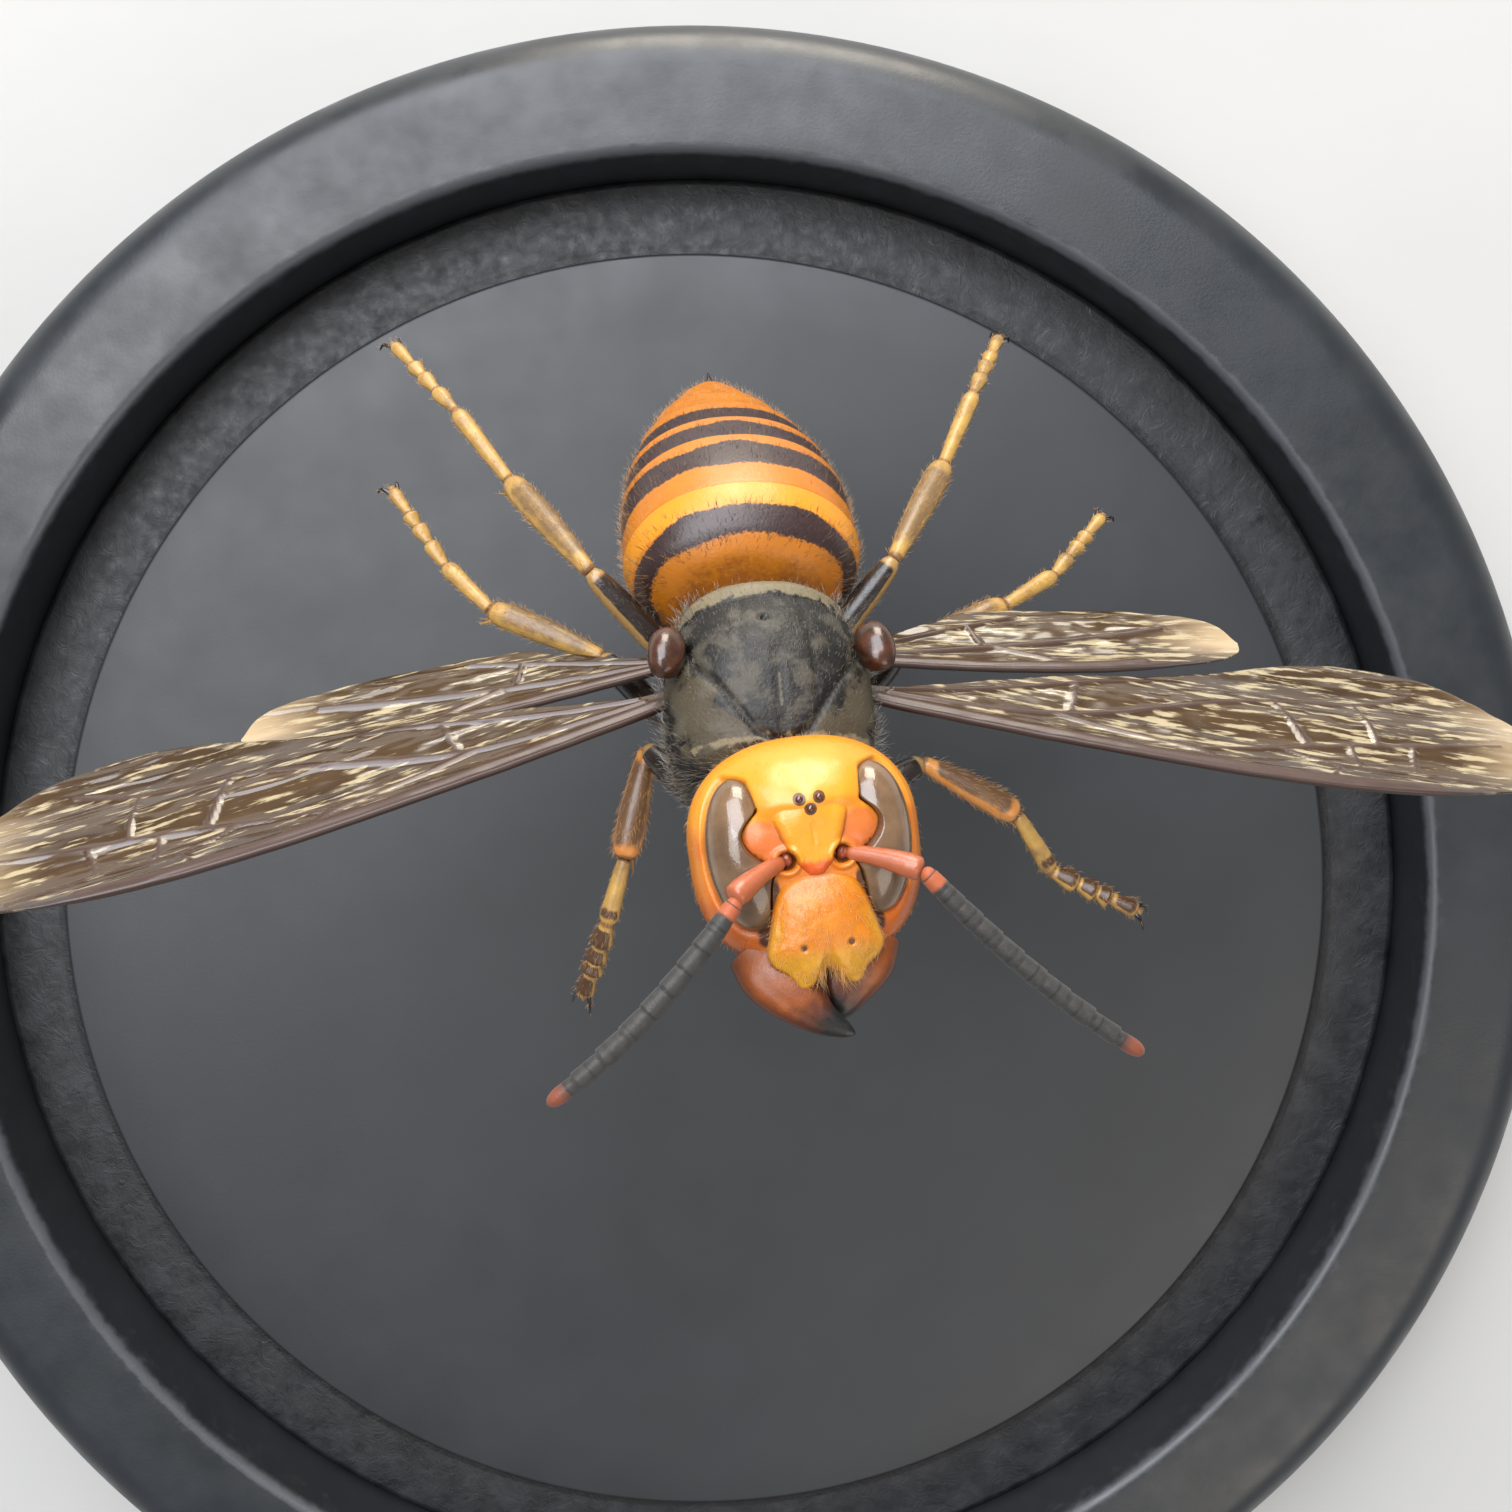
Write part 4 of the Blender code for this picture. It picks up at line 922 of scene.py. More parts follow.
@dataclass
class Thorax:
    """The thorax: collar, shield, scutellum and rear slope in one skin, with the short neck."""

    stations: tuple[tuple[float, ...], ...] = (
        (-5.0, 1.7, 0.5, -2.0), (-4.75, 3.1, 1.3, -3.0), (-4.2, 4.2, 2.1, -3.9), (-3.2, 4.7, 2.8, -4.5),
        (-1.8, 4.9, 3.5, -4.9), (-0.2, 4.95, 4.05, -5.0), (1.4, 4.8, 4.25, -4.9), (2.8, 4.45, 4.05, -4.7),
        (3.7, 4.0, 3.6, -4.5), (4.5, 3.5, 2.8, -4.1), (5.1, 2.8, 1.7, -3.6), (5.5, 2.0, 0.6, -2.9),
    )
    # Where the rows of faces lie, closer at the two ends: first, last and how many
    rows: tuple[tuple[float, float, int], ...] = ((-5.0, -4.2, 12), (-4.13, 4.6, 118), (4.66, 5.5, 14))
    around: int = 168
    fullness: float = 2.25
    shield: Outline = ((0, -4.35), (-1.2, -3.95), (-3.8, -0.3), (-3.95, 0.7), (-3.9, 2.0), (-3.3, 2.85),
                       (3.3, 2.85), (3.9, 2.0), (3.95, 0.7), (3.8, -0.3), (1.2, -3.95))
    shield_seam: tuple[int, ...] = (8, 9, 10, 0, 1, 2, 3)
    scutellum: tuple[float, float] = (2.85, 4.2)
    # Seams between the side plates, from the side
    flank_seams: tuple[Outline, ...] = (
        ((-3.4, 1.6), (-2.6, -1.0), (-2.0, -4.6)), ((1.2, 1.8), (0.6, -1.2), (1.4, -4.6)),
        ((-2.3, -0.6), (0.7, -0.9)), ((3.4, 2.4), (2.8, -1.0), (3.3, -4.3)),
    )
    furrow: float = 1.55
    neck: tuple[Spot, ...] = ((0, -3.9, -0.7), (0.1, -5.2, -1.0), (0.25, -6.6, -1.4))
    pin_mark: tuple[float, float] = (-0.45, 1.2)
    tegula: Spot = (4.85, 0.5, 2.75)
    tegula_size: Spot = (0.85, 1.3, 1.0)
    tegula_turn: tuple[float, float] = (30.0, 16.0)

    cuticle: Finish = Finish(
        # Densely punctured black chitin, dull where the fuzz is worn, so it shows a fine grey grain
        "thorax_chitin", "0F0D0B", "1E1A14", 0.48, mottle_mm=0.9, mottle_cover=0.75, grain_mm=0.16,
        depth_mm=0.035, coat=0.04, coat_roughness=0.35, ior=1.42,
        layers=(
            Layer("collar", "4A4130", 0.35, 0.3, 0.9, 1.1, cover=0.85, roughness=0.62),
            Layer("patch", "565044", 0.25, 0.3, 0.7, 1.0, cover=0.5, roughness=0.58),
            Layer("rim", "7F7358", 0.0, 0.1, 0.3, 0.5, cover=0.75, roughness=0.6),
            Layer("line", "6B6452", 0.0, 0.05, 0.05, 0.2, cover=0.55),
            Layer("rear", "1C1713", 0.0, 0.3, 0.2, 0.5, cover=0.8),
            Layer("seam", "0F0D0B", 0.5, 0.3, 0.0, cover=0.9),
            # Painted shade: the pin's hole, near-black inside
            Layer("hole", "050404", 0.5, 0.2, 0.0),
        ),
    )
    tegula_cuticle: Finish = Finish(
        # The wing-root caps are thin smooth chitin, translucent brown with a wet gloss
        "tegula_chitin", "22130C", "5E3216", 0.27, mottle_mm=0.9, grain_mm=0.12,
        coat=0.5, coat_roughness=0.12,
    )

    def build_skin(self) -> Piece:
        """The thorax's shell with its grooves, in one skin with the neck.

        Returns:
            The placed skin.
        """
        places = np.concatenate([np.linspace(*row) for row in self.rows])
        last = len(places) - 1
        form, around, along = Form.grid(self.around, last)
        index = np.rint(along * last).astype(int)
        half, top, bottom = between(self.stations, places[index]).T
        angle = around_angle(around)
        shut = np.where((index == 0) | (index == last), 0.3, 1.0)
        x = rounded(np.cos(angle), self.fullness) * half * shut
        z = (top + bottom) / 2 + rounded(np.sin(angle), self.fullness) * (top - bottom) / 2 * shut
        form.move(np.stack([x, places[index], z], axis=1))
        form.cap()
        form.relieve(self._relief)
        widths = np.interp(np.linspace(0, 2, 16), (0, 1, 2), (1.9, 1.5, 1.1))
        form.join(Form.swept(curve(self.neck, 16), widths, 40))
        self._paint(form)
        solids = ["pronotum", "mesothorax", "scutellum", "propodeum"]
        return form.place("thorax_skin", BODY_FRAME, self.cuticle, "thorax_cuticle", solids)

    def _grooves(self, points: Array) -> Array:
        """Finds the seams between the plates.

        Args:
            points: Points of the skin.

        Returns:
            How deep in a seam each lies, from 0 to 1.
        """
        x, y, z = points.T
        upper = step(z, 0.6, 1.4)
        edge = line_distance(points[:, :2], np.array(self.shield, float)[list(self.shield_seam)])
        seam = ridge(edge, 0.13) * upper
        for place in self.scutellum:
            bow = place + 0.12 * (x / 3) ** 2 * (1 if place > 4 else -1)
            seam = np.maximum(seam, ridge(y - bow, 0.12) * upper)
        for line in self.flank_seams:
            distance = line_distance(points[:, 1:], curve(line, 12))
            seam = np.maximum(seam, ridge(distance, 0.16) * (1 - upper))
        return seam

    def _relief(self, points: Array) -> Array:
        """Raises the scutellum and sinks the seams, the furrows of the shield and the pin's mark.

        Args:
            points: Points of the smooth skin.

        Returns:
            How far each stands out, in millimetres.
        """
        plan, (_, y, z) = points[:, :2], points.T
        height = -0.2 * self._grooves(points)
        upper = step(z, 1.0, 2.2)
        for x in (-self.furrow, self.furrow):
            line = np.array([(x * 1.1, -2.6), (x, 1.0), (x * 0.9, 2.7)])
            height -= 0.06 * ridge(line_distance(plan, line), 0.12) * upper
        middle = np.array([(0, -4.0), (0, -0.5)])
        height -= 0.07 * ridge(line_distance(plan, middle), 0.1) * upper
        height += 0.28 * step(y, 2.95, 3.4) * step(y, 4.15, 3.8) * upper
        height += 0.035 * ripple(points, 1.1, 5.0) + 0.012 * ripple(points, 4.0, 9.0)
        hole = np.linalg.norm(plan - np.array(self.pin_mark), axis=1)
        height -= 0.4 * step(hole, 0.24, 0.12) * upper
        return height

    def _paint(self, form: Form) -> None:
        """Marks the collar, the rim of the scutellum, the seams and the painted shade in the pin's hole.

        Args:
            form: The skin, to be painted.
        """
        points = form.points()
        plan, (x, y, z) = points[:, :2], points.T
        upper = step(z, 0.4, 1.2)
        shield = depth_within(plan, np.array(self.shield, float))
        front = np.minimum(-shield, 1.6 - y)
        form.paint("collar", np.minimum(front, z - 0.3))
        form.paint("patch", ripple(points, 0.8, 2.0))
        rim = np.minimum(y - self.scutellum[0] - 0.1, self.scutellum[1] + 0.1 - y)
        collar = y + 4.25 - 0.03 * x ** 2
        rim = np.maximum(rim, np.minimum(0.1 - np.abs(collar), -y))
        form.paint("rim", np.where(upper > 0.3, rim, -1.0))
        line = np.minimum(0.05 - np.abs(x), 0.7 - np.abs(y + 2.3))
        form.paint("line", np.where(upper > 0.5, line, -1.0))
        form.paint("rear", y - 4.4)
        form.paint("seam", self._grooves(points))
        hole = np.linalg.norm(plan - np.array(self.pin_mark), axis=1)
        # Painted shade in the pin's hole
        form.paint("hole", step(hole, 0.24, 0.14) * upper)

    def build_tegula(self, side: Side) -> None:
        """One wing-root cap, an oval shell with a rolled rim.

        Args:
            side: The hornet's own side.
        """
        form = Form.ball(ball_place((0, 0, 0), self.tegula_size))
        points = form.points()
        points[:, :2] *= (1 + 0.06 * ridge(points[:, 2], 0.28))[:, None]
        points[:, 2] += 0.05 * np.sin(points[:, 1] * 2.2)
        form.move(points)
        x, y, z = self.tegula
        tilt, toe = self.tegula_turn
        turn = turned((0, side.value * tilt, side.value * toe))
        form.mesh.transform(Matrix.Translation((side.value * x, y, z)) @ turn)
        name, solid = f"wing_cap_{side.word}", f"tegula_{side.word}"
        form.place(name, BODY_FRAME, self.tegula_cuticle, "brown_cuticle", [solid])


@dataclass
class Head:
    """The broad amber head: skull, eyes, clypeus and mandibles, all in the head's own frame."""

    around: int = 260
    rows: int = 150
    half_width: float = 5.1
    top: float = 4.4
    bottom: float = 5.3
    stations: tuple[tuple[float, ...], ...] = (
        (-2.45, 0.1, 0.12, 0.16), (-2.4, 0.28, 0.36, 0.48), (-2.15, 0.53, 0.6, 0.8), (-1.7, 0.73, 0.77, 0.96),
        (-1.1, 0.87, 0.88, 1.00), (-0.4, 0.96, 0.96, 1.00), (0.4, 1.00, 1.00, 0.96), (1.2, 0.98, 0.98, 0.86),
        (2.0, 0.86, 0.88, 0.68), (2.65, 0.62, 0.66, 0.50), (2.95, 0.30, 0.35, 0.25), (3.0, 0.10, 0.12, 0.08),
    )
    upper_fullness: float = 2.3
    lower_fullness: float = 3.5
    lower_taper: float = 0.09
    eye_centre: Spot = (2.68, -0.85, -0.3)
    eye_size: Spot = (1.75, 1.9, 3.45)
    eye_toe_out: float = 30.0
    eye_slant: float = 5.0
    # The eye's inner edge from the front, with the notch that the antenna's socket looks through
    eye_edge: Outline = (
        (1.85, 2.55), (2.2, 2.95), (3.0, 3.2), (6.5, 3.4), (6.5, -3.9), (2.9, -3.9), (2.35, -3.5),
        (2.1, -3.0), (2.05, -2.2), (1.95, -1.4), (1.75, -0.75), (2.3, -0.35), (2.8, 0.15), (3.0, 0.75),
        (2.75, 1.25), (2.3, 1.65), (2.0, 2.05),
    )
    face_shield: Outline = (
        (-1.6, 4.2), (-1.6, 1.3), (-1.35, 0.5), (-0.78, -0.6), (-0.3, -1.15), (0, -1.22), (0.3, -1.15),
        (0.78, -0.6), (1.35, 0.5), (1.6, 1.3), (1.6, 4.2),
    )
    # Where the antennae's sockets lie, to the side and up
    socket: tuple[float, float] = (1.2, -0.5)
    ocelli: tuple[tuple[float, float], ...] = ((0.0, 1.65), (-0.42, 2.1), (0.42, 2.1))
    ocellus_radii: Spot = (0.17, 0.15, 0.17)
    clypeus_half: Outline = (
        (0.0, -1.15), (0.9, -1.25), (1.55, -1.6), (1.95, -2.2), (2.2, -3.0), (2.42, -3.8), (2.55, -4.4),
        (2.3, -4.95), (1.75, -5.4), (1.3, -6.05), (0.8, -6.0), (0.35, -5.5), (0.0, -5.3),
    )
    clypeus_centre: float = -3.6
    clypeus_around: int = 240
    clypeus_pit: tuple[float, float] = (1.03, -4.15)
    mandibles: dict[Side, tuple[Spot, ...]] = field(default_factory=lambda: {
        Side.RIGHT: ((-3.05, -0.9, -4.3), (-2.4, -1.5, -5.3), (-1.5, -2.0, -6.4), (-0.5, -2.3, -7.45),
                     (0.75, -2.6, -8.25)),
        Side.LEFT: ((2.5, -0.9, -4.3), (1.75, -1.2, -5.3), (1.0, -1.3, -6.3), (0.4, -1.4, -7.2),
                    (-0.3, -1.3, -7.8)),
    })
    mandible_radii: tuple[float, ...] = (1.15, 1.42, 1.2, 0.75, 0.2)
    mandible_rows: int = 60

    cuticle: Finish = Finish(
        # Head chitin is thick, waxy and warm: amber with light passing a little into it
        "head_chitin", "C4680E", "CE7E16", 0.38, mottle_mm=1.3, grain_mm=0.14,
        depth_mm=0.012, coat=0.35, coat_roughness=0.22, subsurface=0.15,
        layers=(
            # Painted highlight: lighter and yellower over the top of the head
            Layer("crown", "DA8916", 0.5, 0.45, 0.15, 0.8),
            Layer("cheek", "A9500B", 0.5, 0.4, 0.2, 0.7, cover=0.85),
            Layer("shield", "DC8D1C", 0.0, 0.2, 0.05, 0.3),
            Layer("shield_tip", "D2501C", 0.5, 0.3, 0.1, 0.3, cover=0.9),
            Layer("sinus", "C4662C", 0.5, 0.4, 0.15, 0.5, cover=0.85),
            # Painted shade: near-black beside the face plate, under the eyes and round the mouth
            Layer("painted_shade", "2A0F06", 0.5, 0.3, 0.15, 0.4, cover=0.92),
            # Dark seams of the chitin, with painted shade in the antennae's sockets and the creases round the
            # eyes and the shield
            Layer("seam", "3A1606", 0.5, 0.25, 0.0, cover=0.9),
            Layer("spot", "2A140A", 0.5, 0.25, 0.1, 0.2, cover=0.9),
        ),
    )
    eye_lens: Finish = Finish(
        # Compound eyes are thousands of clear lenses over brown pigment, so they read as dark glossy glass
        "eye_lenses", "5E4630", "8A6C4E", 0.2, mottle_mm=1.8, grain=Grain.FACETS, grain_mm=0.09,
        depth_mm=0.006, coat=0.8, coat_roughness=0.08, layers=(
            # Painted shade: darker along the eye's edge, where it turns in towards the head
            Layer("edge", "3A2214", 0.5, 0.45, 0.0, cover=0.55),
        ),
    )
    ocellus_lens: Finish = Finish(
        # The three small eyes are single clear beads, dark amber and wet looking
        "ocellus_lens", "5A2810", "2A120A", 0.08, mottle_mm=0.2, depth_mm=0.001, coat=1.0,
        coat_roughness=0.04,
    )
    clypeus_cuticle: Finish = Finish(
        # The face plate is pitted amber chitin, paler towards the brow and yellow at its lobes
        "clypeus_chitin", "BE6C0A", "C87C10", 0.4, mottle_mm=0.9, grain_mm=0.13, depth_mm=0.03,
        coat=0.3, coat_roughness=0.25, subsurface=0.12,
        layers=(
            Layer("brow", "D2905A", 0.5, 0.35, 0.1, 0.4, cover=0.7),
            Layer("lobes", "BE8816", 0.5, 0.5, 0.15, 0.5, cover=0.9),
            Layer("rim", "8A4008", 0.5, 0.3, 0.05, 0.3, cover=0.55),
            Layer("pit", "4A1C06", 0.5, 0.25, 0.0),
        ),
    )
    mandible_cuticle: Finish = Finish(
        # Mandibles darken from red-brown to jet where the chitin is hardened for biting, and shine
        "mandible_chitin", "88440C", "6A300A", 0.42, mottle_mm=0.9, grain_mm=0.12, depth_mm=0.012,
        coat=0.15, coat_roughness=0.25,
        layers=(
            # Painted shade: darker on the sides and back, which turn away from the light
            Layer("side", "4A2008", 0.5, 0.45, 0.25, 0.8, cover=0.85),
            Layer("along", "3E1808", 0.58, 0.16, 0.08, 0.5, cover=0.95),
            Layer("along", "0C0A09", 0.74, 0.07, 0.04, 0.4),
            Layer("bite", "120C0A", 0.6, 0.3, 0.1, 0.3, cover=0.9),
        ),
    )

    def eye_matrix(self, side: Side) -> Matrix:
        """The place, turn and size of one eye's ball.

        Args:
            side: The hornet's own side.

        Returns:
            The matrix that takes a unit ball there.
        """
        x, y, z = self.eye_centre
        degrees = (0, side.value * self.eye_slant, side.value * self.eye_toe_out)
        return ball_place((side.value * x, y, z), self.eye_size, degrees)

    def _in_eye(self, points: Array) -> Array:
        """Measures how near each point lies to an eye.

        Args:
            points: Points in the head's frame.

        Returns:
            The distance from the nearer eye's middle, where 1 is the ball's surface.
        """
        nearest = np.full(len(points), FAR)
        for side in Side:
            back = np.array(self.eye_matrix(side).inverted())
            local = points @ back[:3, :3].T + back[:3, 3]
            nearest = np.minimum(nearest, np.linalg.norm(local, axis=1))
        return nearest

    def _edge_depth(self, points: Array) -> Array:
        """How far each point lies inside the eye's edge, seen from the front, on either side."""
        plan = np.stack([np.abs(points[:, 0]), points[:, 2]], axis=1)
        return depth_within(plan, curve(self.eye_edge, 120, closed=True))

    def build_skin(self) -> Piece:
        """The skull with its face shield, sinuses and sockets, sunk a little where the eyes sit.

        Returns:
            The placed skin.
        """
        depths = np.array([row[0] for row in self.stations])
        shares = np.array([row[1:] for row in self.stations])
        table = np.column_stack([np.arange(len(depths)), depths, shares])
        rows = self.rows
        form, around, along = Form.grid(self.around, rows)
        index = np.rint(along * rows) / rows * (len(depths) - 1)
        depth, width, top, bottom = between(table, index).T
        angle = around_angle(around)
        c, s = np.cos(angle), np.sin(angle)
        fullness = np.where(s < 0, self.lower_fullness, self.upper_fullness)
        taper = 1 - self.lower_taper * np.maximum(0, -s) ** 1.5
        reach = np.where(s > 0, self.top * top, self.bottom * bottom)
        x = rounded(c, fullness) * self.half_width * width * taper
        form.move(np.stack([x, depth, rounded(s, fullness) * reach], axis=1))
        form.cap()
        dense = [face for face in form.mesh.faces if face.calc_center_median().y < -2.2]
        edges = list({edge for face in dense for edge in face.edges})
        bmesh.ops.subdivide_edges(form.mesh, edges=edges, cuts=1, use_grid_fill=True)
        points = form.points()
        face = step(points[:, 1], 0.2, -1.2)
        points[:, 1] -= self._relief(points) * face
        form.move(points)
        sunk = step(self._in_eye(points), 1.12, 1.0) * step(self._edge_depth(points), -0.05, 0.12)
        form.relieve(lambda found: -0.55 * sunk)
        self._paint(form)
        return form.place("head_skin", HEAD_FRAME, self.cuticle, "head_cuticle", ["head"])

    def _relief(self, points: Array) -> Array:
        """Raises the shield, the sinus pads and the brow, and sinks the sockets and the middle seam.

        Args:
            points: Points of the smooth skull.

        Returns:
            How far the face stands out at each, in millimetres.
        """
        x, z = np.abs(points[:, 0]), points[:, 2]
        plan = np.stack([points[:, 0], z], axis=1)
        shield = depth_within(plan, np.array(self.face_shield))
        dome = np.sqrt(np.clip(1 - (1 - np.clip(shield, 0, 0.55) / 0.55) ** 2, 0, 1))
        brow = step(z, 0.9, 2.1) * step(x, 3.0, 1.3)
        height = 0.42 * np.maximum(dome * (1 - 0.3 * step(z, 1.0, 2.0)), brow) * step(z, 3.8, 1.8)
        pad = np.hypot((x - 2.15) / 0.85, (z - 0.55) / 0.8)
        height += 0.09 * step(pad, 1.25, 0.1)
        socket = np.hypot(x - self.socket[0], z - self.socket[1])
        height += 0.14 * ridge(socket - 0.55, 0.14) - 0.35 * step(socket, 0.5, 0.2)
        height += 0.25 * ridge(np.hypot(x, (z - 1.95) * 1.1), 0.75)
        height -= 0.05 * ridge(x, 0.1) * step(z, 1.3, 1.0) * step(z, -0.9, -0.2)
        return height + 0.02 * ripple(points, 1.6, 4.0)

    def _paint(self, form: Form) -> None:
        """Marks the head's colours: the crown's painted highlight, cheeks, shield, sinuses, and painted shade
        beside the face plate and round the mouth.

        Args:
            form: The skull, to be painted.
        """
        points = form.points()
        x, z = np.abs(points[:, 0]), points[:, 2]
        front = step(points[:, 1], -0.3, -1.2)
        plan = np.stack([points[:, 0], z], axis=1)
        shield = depth_within(plan, np.array(self.face_shield))
        # The crown's painted highlight, stronger towards the top of the head
        form.paint("crown", step(z, -0.2, 2.0))
        form.paint("cheek", step(z, -1.0, -3.4) * step(x, 1.8, 3.2) + 0.4 * step(points[:, 1], 0.8, 2.4))
        form.paint("shield", np.where(front > 0.3, shield, -1.0))
        form.paint("shield_tip", step(z, -0.2, -1.0) * (shield > -0.05) * front)
        form.paint("sinus", step(np.hypot((x - 2.1) / 0.95, (z - 0.5) / 0.95), 1.15, 0.6) * front)
        # Painted shade where the eyes, the face plate and the mandibles meet
        inner = step(x, 1.5, 1.8) * step(x, 3.0, 2.5) * step(z, -0.9, -1.6) * step(z, -4.4, -3.8)
        form.paint("painted_shade", np.maximum(inner, step(z, -4.6, -5.1) * step(x, 3.6, 3.0)) * front)
        # Dark seams, with painted shade in the sockets, round the eyes and at the shield's sides
        socket = step(np.hypot(x - self.socket[0], z - self.socket[1]), 0.5, 0.3)
        groove = 0.3 * ridge(x, 0.08) * step(z, 1.2, 0.9) * step(z, -0.9, -0.4)
        edge = 0.5 * ridge(self._edge_depth(points) + 0.02, 0.09) * step(self._in_eye(points), 1.1, 1.03)
        side = 0.5 * ridge(shield + 0.02, 0.06) * step(z, 1.0, 0.5)
        form.paint("seam", np.maximum.reduce([socket, groove, edge, side]) * front)
        nearest = np.min([np.hypot(points[:, 0] - ox, z - oz) for ox, oz in self.ocelli], axis=0)
        form.paint("spot", step(nearest, 0.34, 0.2) * front)

    def build_eye(self, side: Side) -> None:
        """One compound eye, a bulging ball whose front is cut to its notched edge.

        Args:
            side: The hornet's own side.
        """
        form = Form.ball(self.eye_matrix(side), 180, 150)
        points = form.points()
        depth = self._edge_depth(points)
        points[:, 1] += 1.5 * step(depth, 0.07, -0.16) * step(points[:, 1], 0.6, -0.4)
        points[:, 0] -= side.value * 0.25 * step(depth, 0.03, -0.2)
        form.move(points)
        # Painted shade along the eye's edge, where it meets the head
        form.paint("edge", step(depth, 0.16, 0.02))
        name = f"compound_eye_{side.word}"
        form.place(name, HEAD_FRAME, self.eye_lens, "compound_eye", [f"eye_{side.word}"])

    def build_ocelli(self, skin: Piece) -> None:
        """The three small eyes, set into the crown where a line from the front meets it.

        Args:
            skin: The placed skull.
        """
        back = HEAD_FRAME.inverted()
        points = np.array([(back @ vert.co)[:] for vert in skin.data.vertices])
        front = points[points[:, 1] < -0.5]
        forms = []
        for x, z in self.ocelli:
            near = front[np.argmin(np.hypot(front[:, 0] - x, front[:, 2] - z))]
            forms.append(Form.ball(ball_place((x, near[1] + 0.02, z), self.ocellus_radii)))
        form = forms[0].join(*forms[1:])
        form.place("ocelli_beads", HEAD_FRAME, self.ocellus_lens, "head_cuticle")

    def build_clypeus(self) -> Piece:
        """The face plate between the mandibles, domed and pitted, with two lobes and a notch below.

        Returns:
            The placed plate.
        """
        half, count = list(self.clypeus_half), self.clypeus_around
        ring = curve(half + [(-x, z) for x, z in half[-2:0:-1]], count, closed=True)
        centre = np.array((0.0, self.clypeus_centre))
        # The front from its middle to its edge, then the wall and back
        form, around, along = Form.grid(count, 90)
        edge = ring[np.rint(around * count).astype(int) % count]
        share = np.clip(along / 0.8, 0, 1)
        back = np.clip((along - 0.8) / 0.2, 0, 1)
        reach = np.where(back > 0, 1 - 0.05 * back, share)
        reach = np.where(along > 0.995, 0.0, reach)
        depth = -2.35 - 0.85 * (1 - share**2.4) ** 0.8 + 1.05 * back
        place = centre + (edge - centre) * reach[:, None]
        form.move(np.stack([place[:, 0], depth, place[:, 1]], axis=1))
        points = form.points()
        x, z = np.abs(points[:, 0]), points[:, 2]
        depth = depth_within(np.stack([points[:, 0], z], axis=1), ring)
        pit = np.hypot(x - self.clypeus_pit[0], z - self.clypeus_pit[1])
        front = points[:, 1] < -2.3
        points[:, 1] += np.where(front, 0.07 * step(pit, 0.26, 0.08) + 0.02 * ripple(points, 3.0, 6.0), 0)
        points[:, 1] -= np.where(front, 0.04 * ridge(depth - 0.16, 0.12), 0)
        form.move(points)
        form.paint("brow", step(z, -1.6, -1.2) * step(x, 1.1, 0.4))
        edge = 0.8 * step(depth, 0.9, 0.1) * step(z, -2.4, -3.4)
        form.paint("lobes", np.maximum(step(z, -3.8, -5.0), edge))
        form.paint("rim", step(depth, 0.16, 0.03) * step(z, -1.6, -2.4))
        form.paint("pit", 0.7 * step(pit, 0.24, 0.08))
        return form.place("face_plate", HEAD_FRAME, self.clypeus_cuticle, "head_cuticle", ["clypeus"])

    def build_mandible(self, side: Side) -> None:
        """One mandible, broad at its base and hooked at its tip, with blunt teeth along the bite.

        Args:
            side: The hornet's own side.
        """
        count = self.mandible_rows
        path = curve(self.mandibles[side], count)
        widths = curve([(wide,) for wide in self.mandible_radii], count)[:, 0]
        shares = np.linspace(0, 4, count)
        widths *= np.where(shares > 3.7, np.sqrt(np.clip((4.02 - shares) / 0.32, 0, 1)), 1.0)
        form = Form.swept(path, widths, 56, 0.55, Vector((0, 1, 0)))
        form.tidy()
        points = form.points()
        along, upper = form.painted("along"), form.painted("upper")
        inward = np.array(Vector((-side.value, 0, -0.3)).normalized())
        reach = np.interp(along, np.linspace(0, 1, count), np.arange(count)).astype(int)
        across = (points - path[reach]) @ inward
        bite = step(across, 0.35, 0.8)
        teeth = 0.16 * np.maximum(0, np.sin(along * 21)) * step(along, 0.5, 0.6) * bite
        points += inward * teeth[:, None]
        points[:, 1] += 0.05 * ridge(upper + 0.85, 0.16) * step(along, 0.85, 0.6) * step(along, 0.1, 0.25)
        form.move(points)
        form.paint("bite", bite * step(along, 0.3, 0.5))
        # Painted shade on the sides and back, away from the front face
        form.paint("side", step(upper, -0.85, -0.1))
        name = f"jaw_{side.word}"
        form.place(name, HEAD_FRAME, self.mandible_cuticle, "brown_cuticle", [f"mandible_{side.word}"])


def bezier(points: Sequence[Sequence[float]], shares: Array) -> Array:
    """Draws a bezier curve.

    Args:
        points: Its control points.
        shares: How far along it to read it, from 0 to 1.

    Returns:
        One point for each share.
    """
    rows = [np.array(point, float)[None, :].repeat(len(shares), 0) for point in points]
    t = shares[:, None]
    while len(rows) > 1:
        rows = [a * (1 - t) + b * t for a, b in zip(rows[:-1], rows[1:])]
    return rows[0]


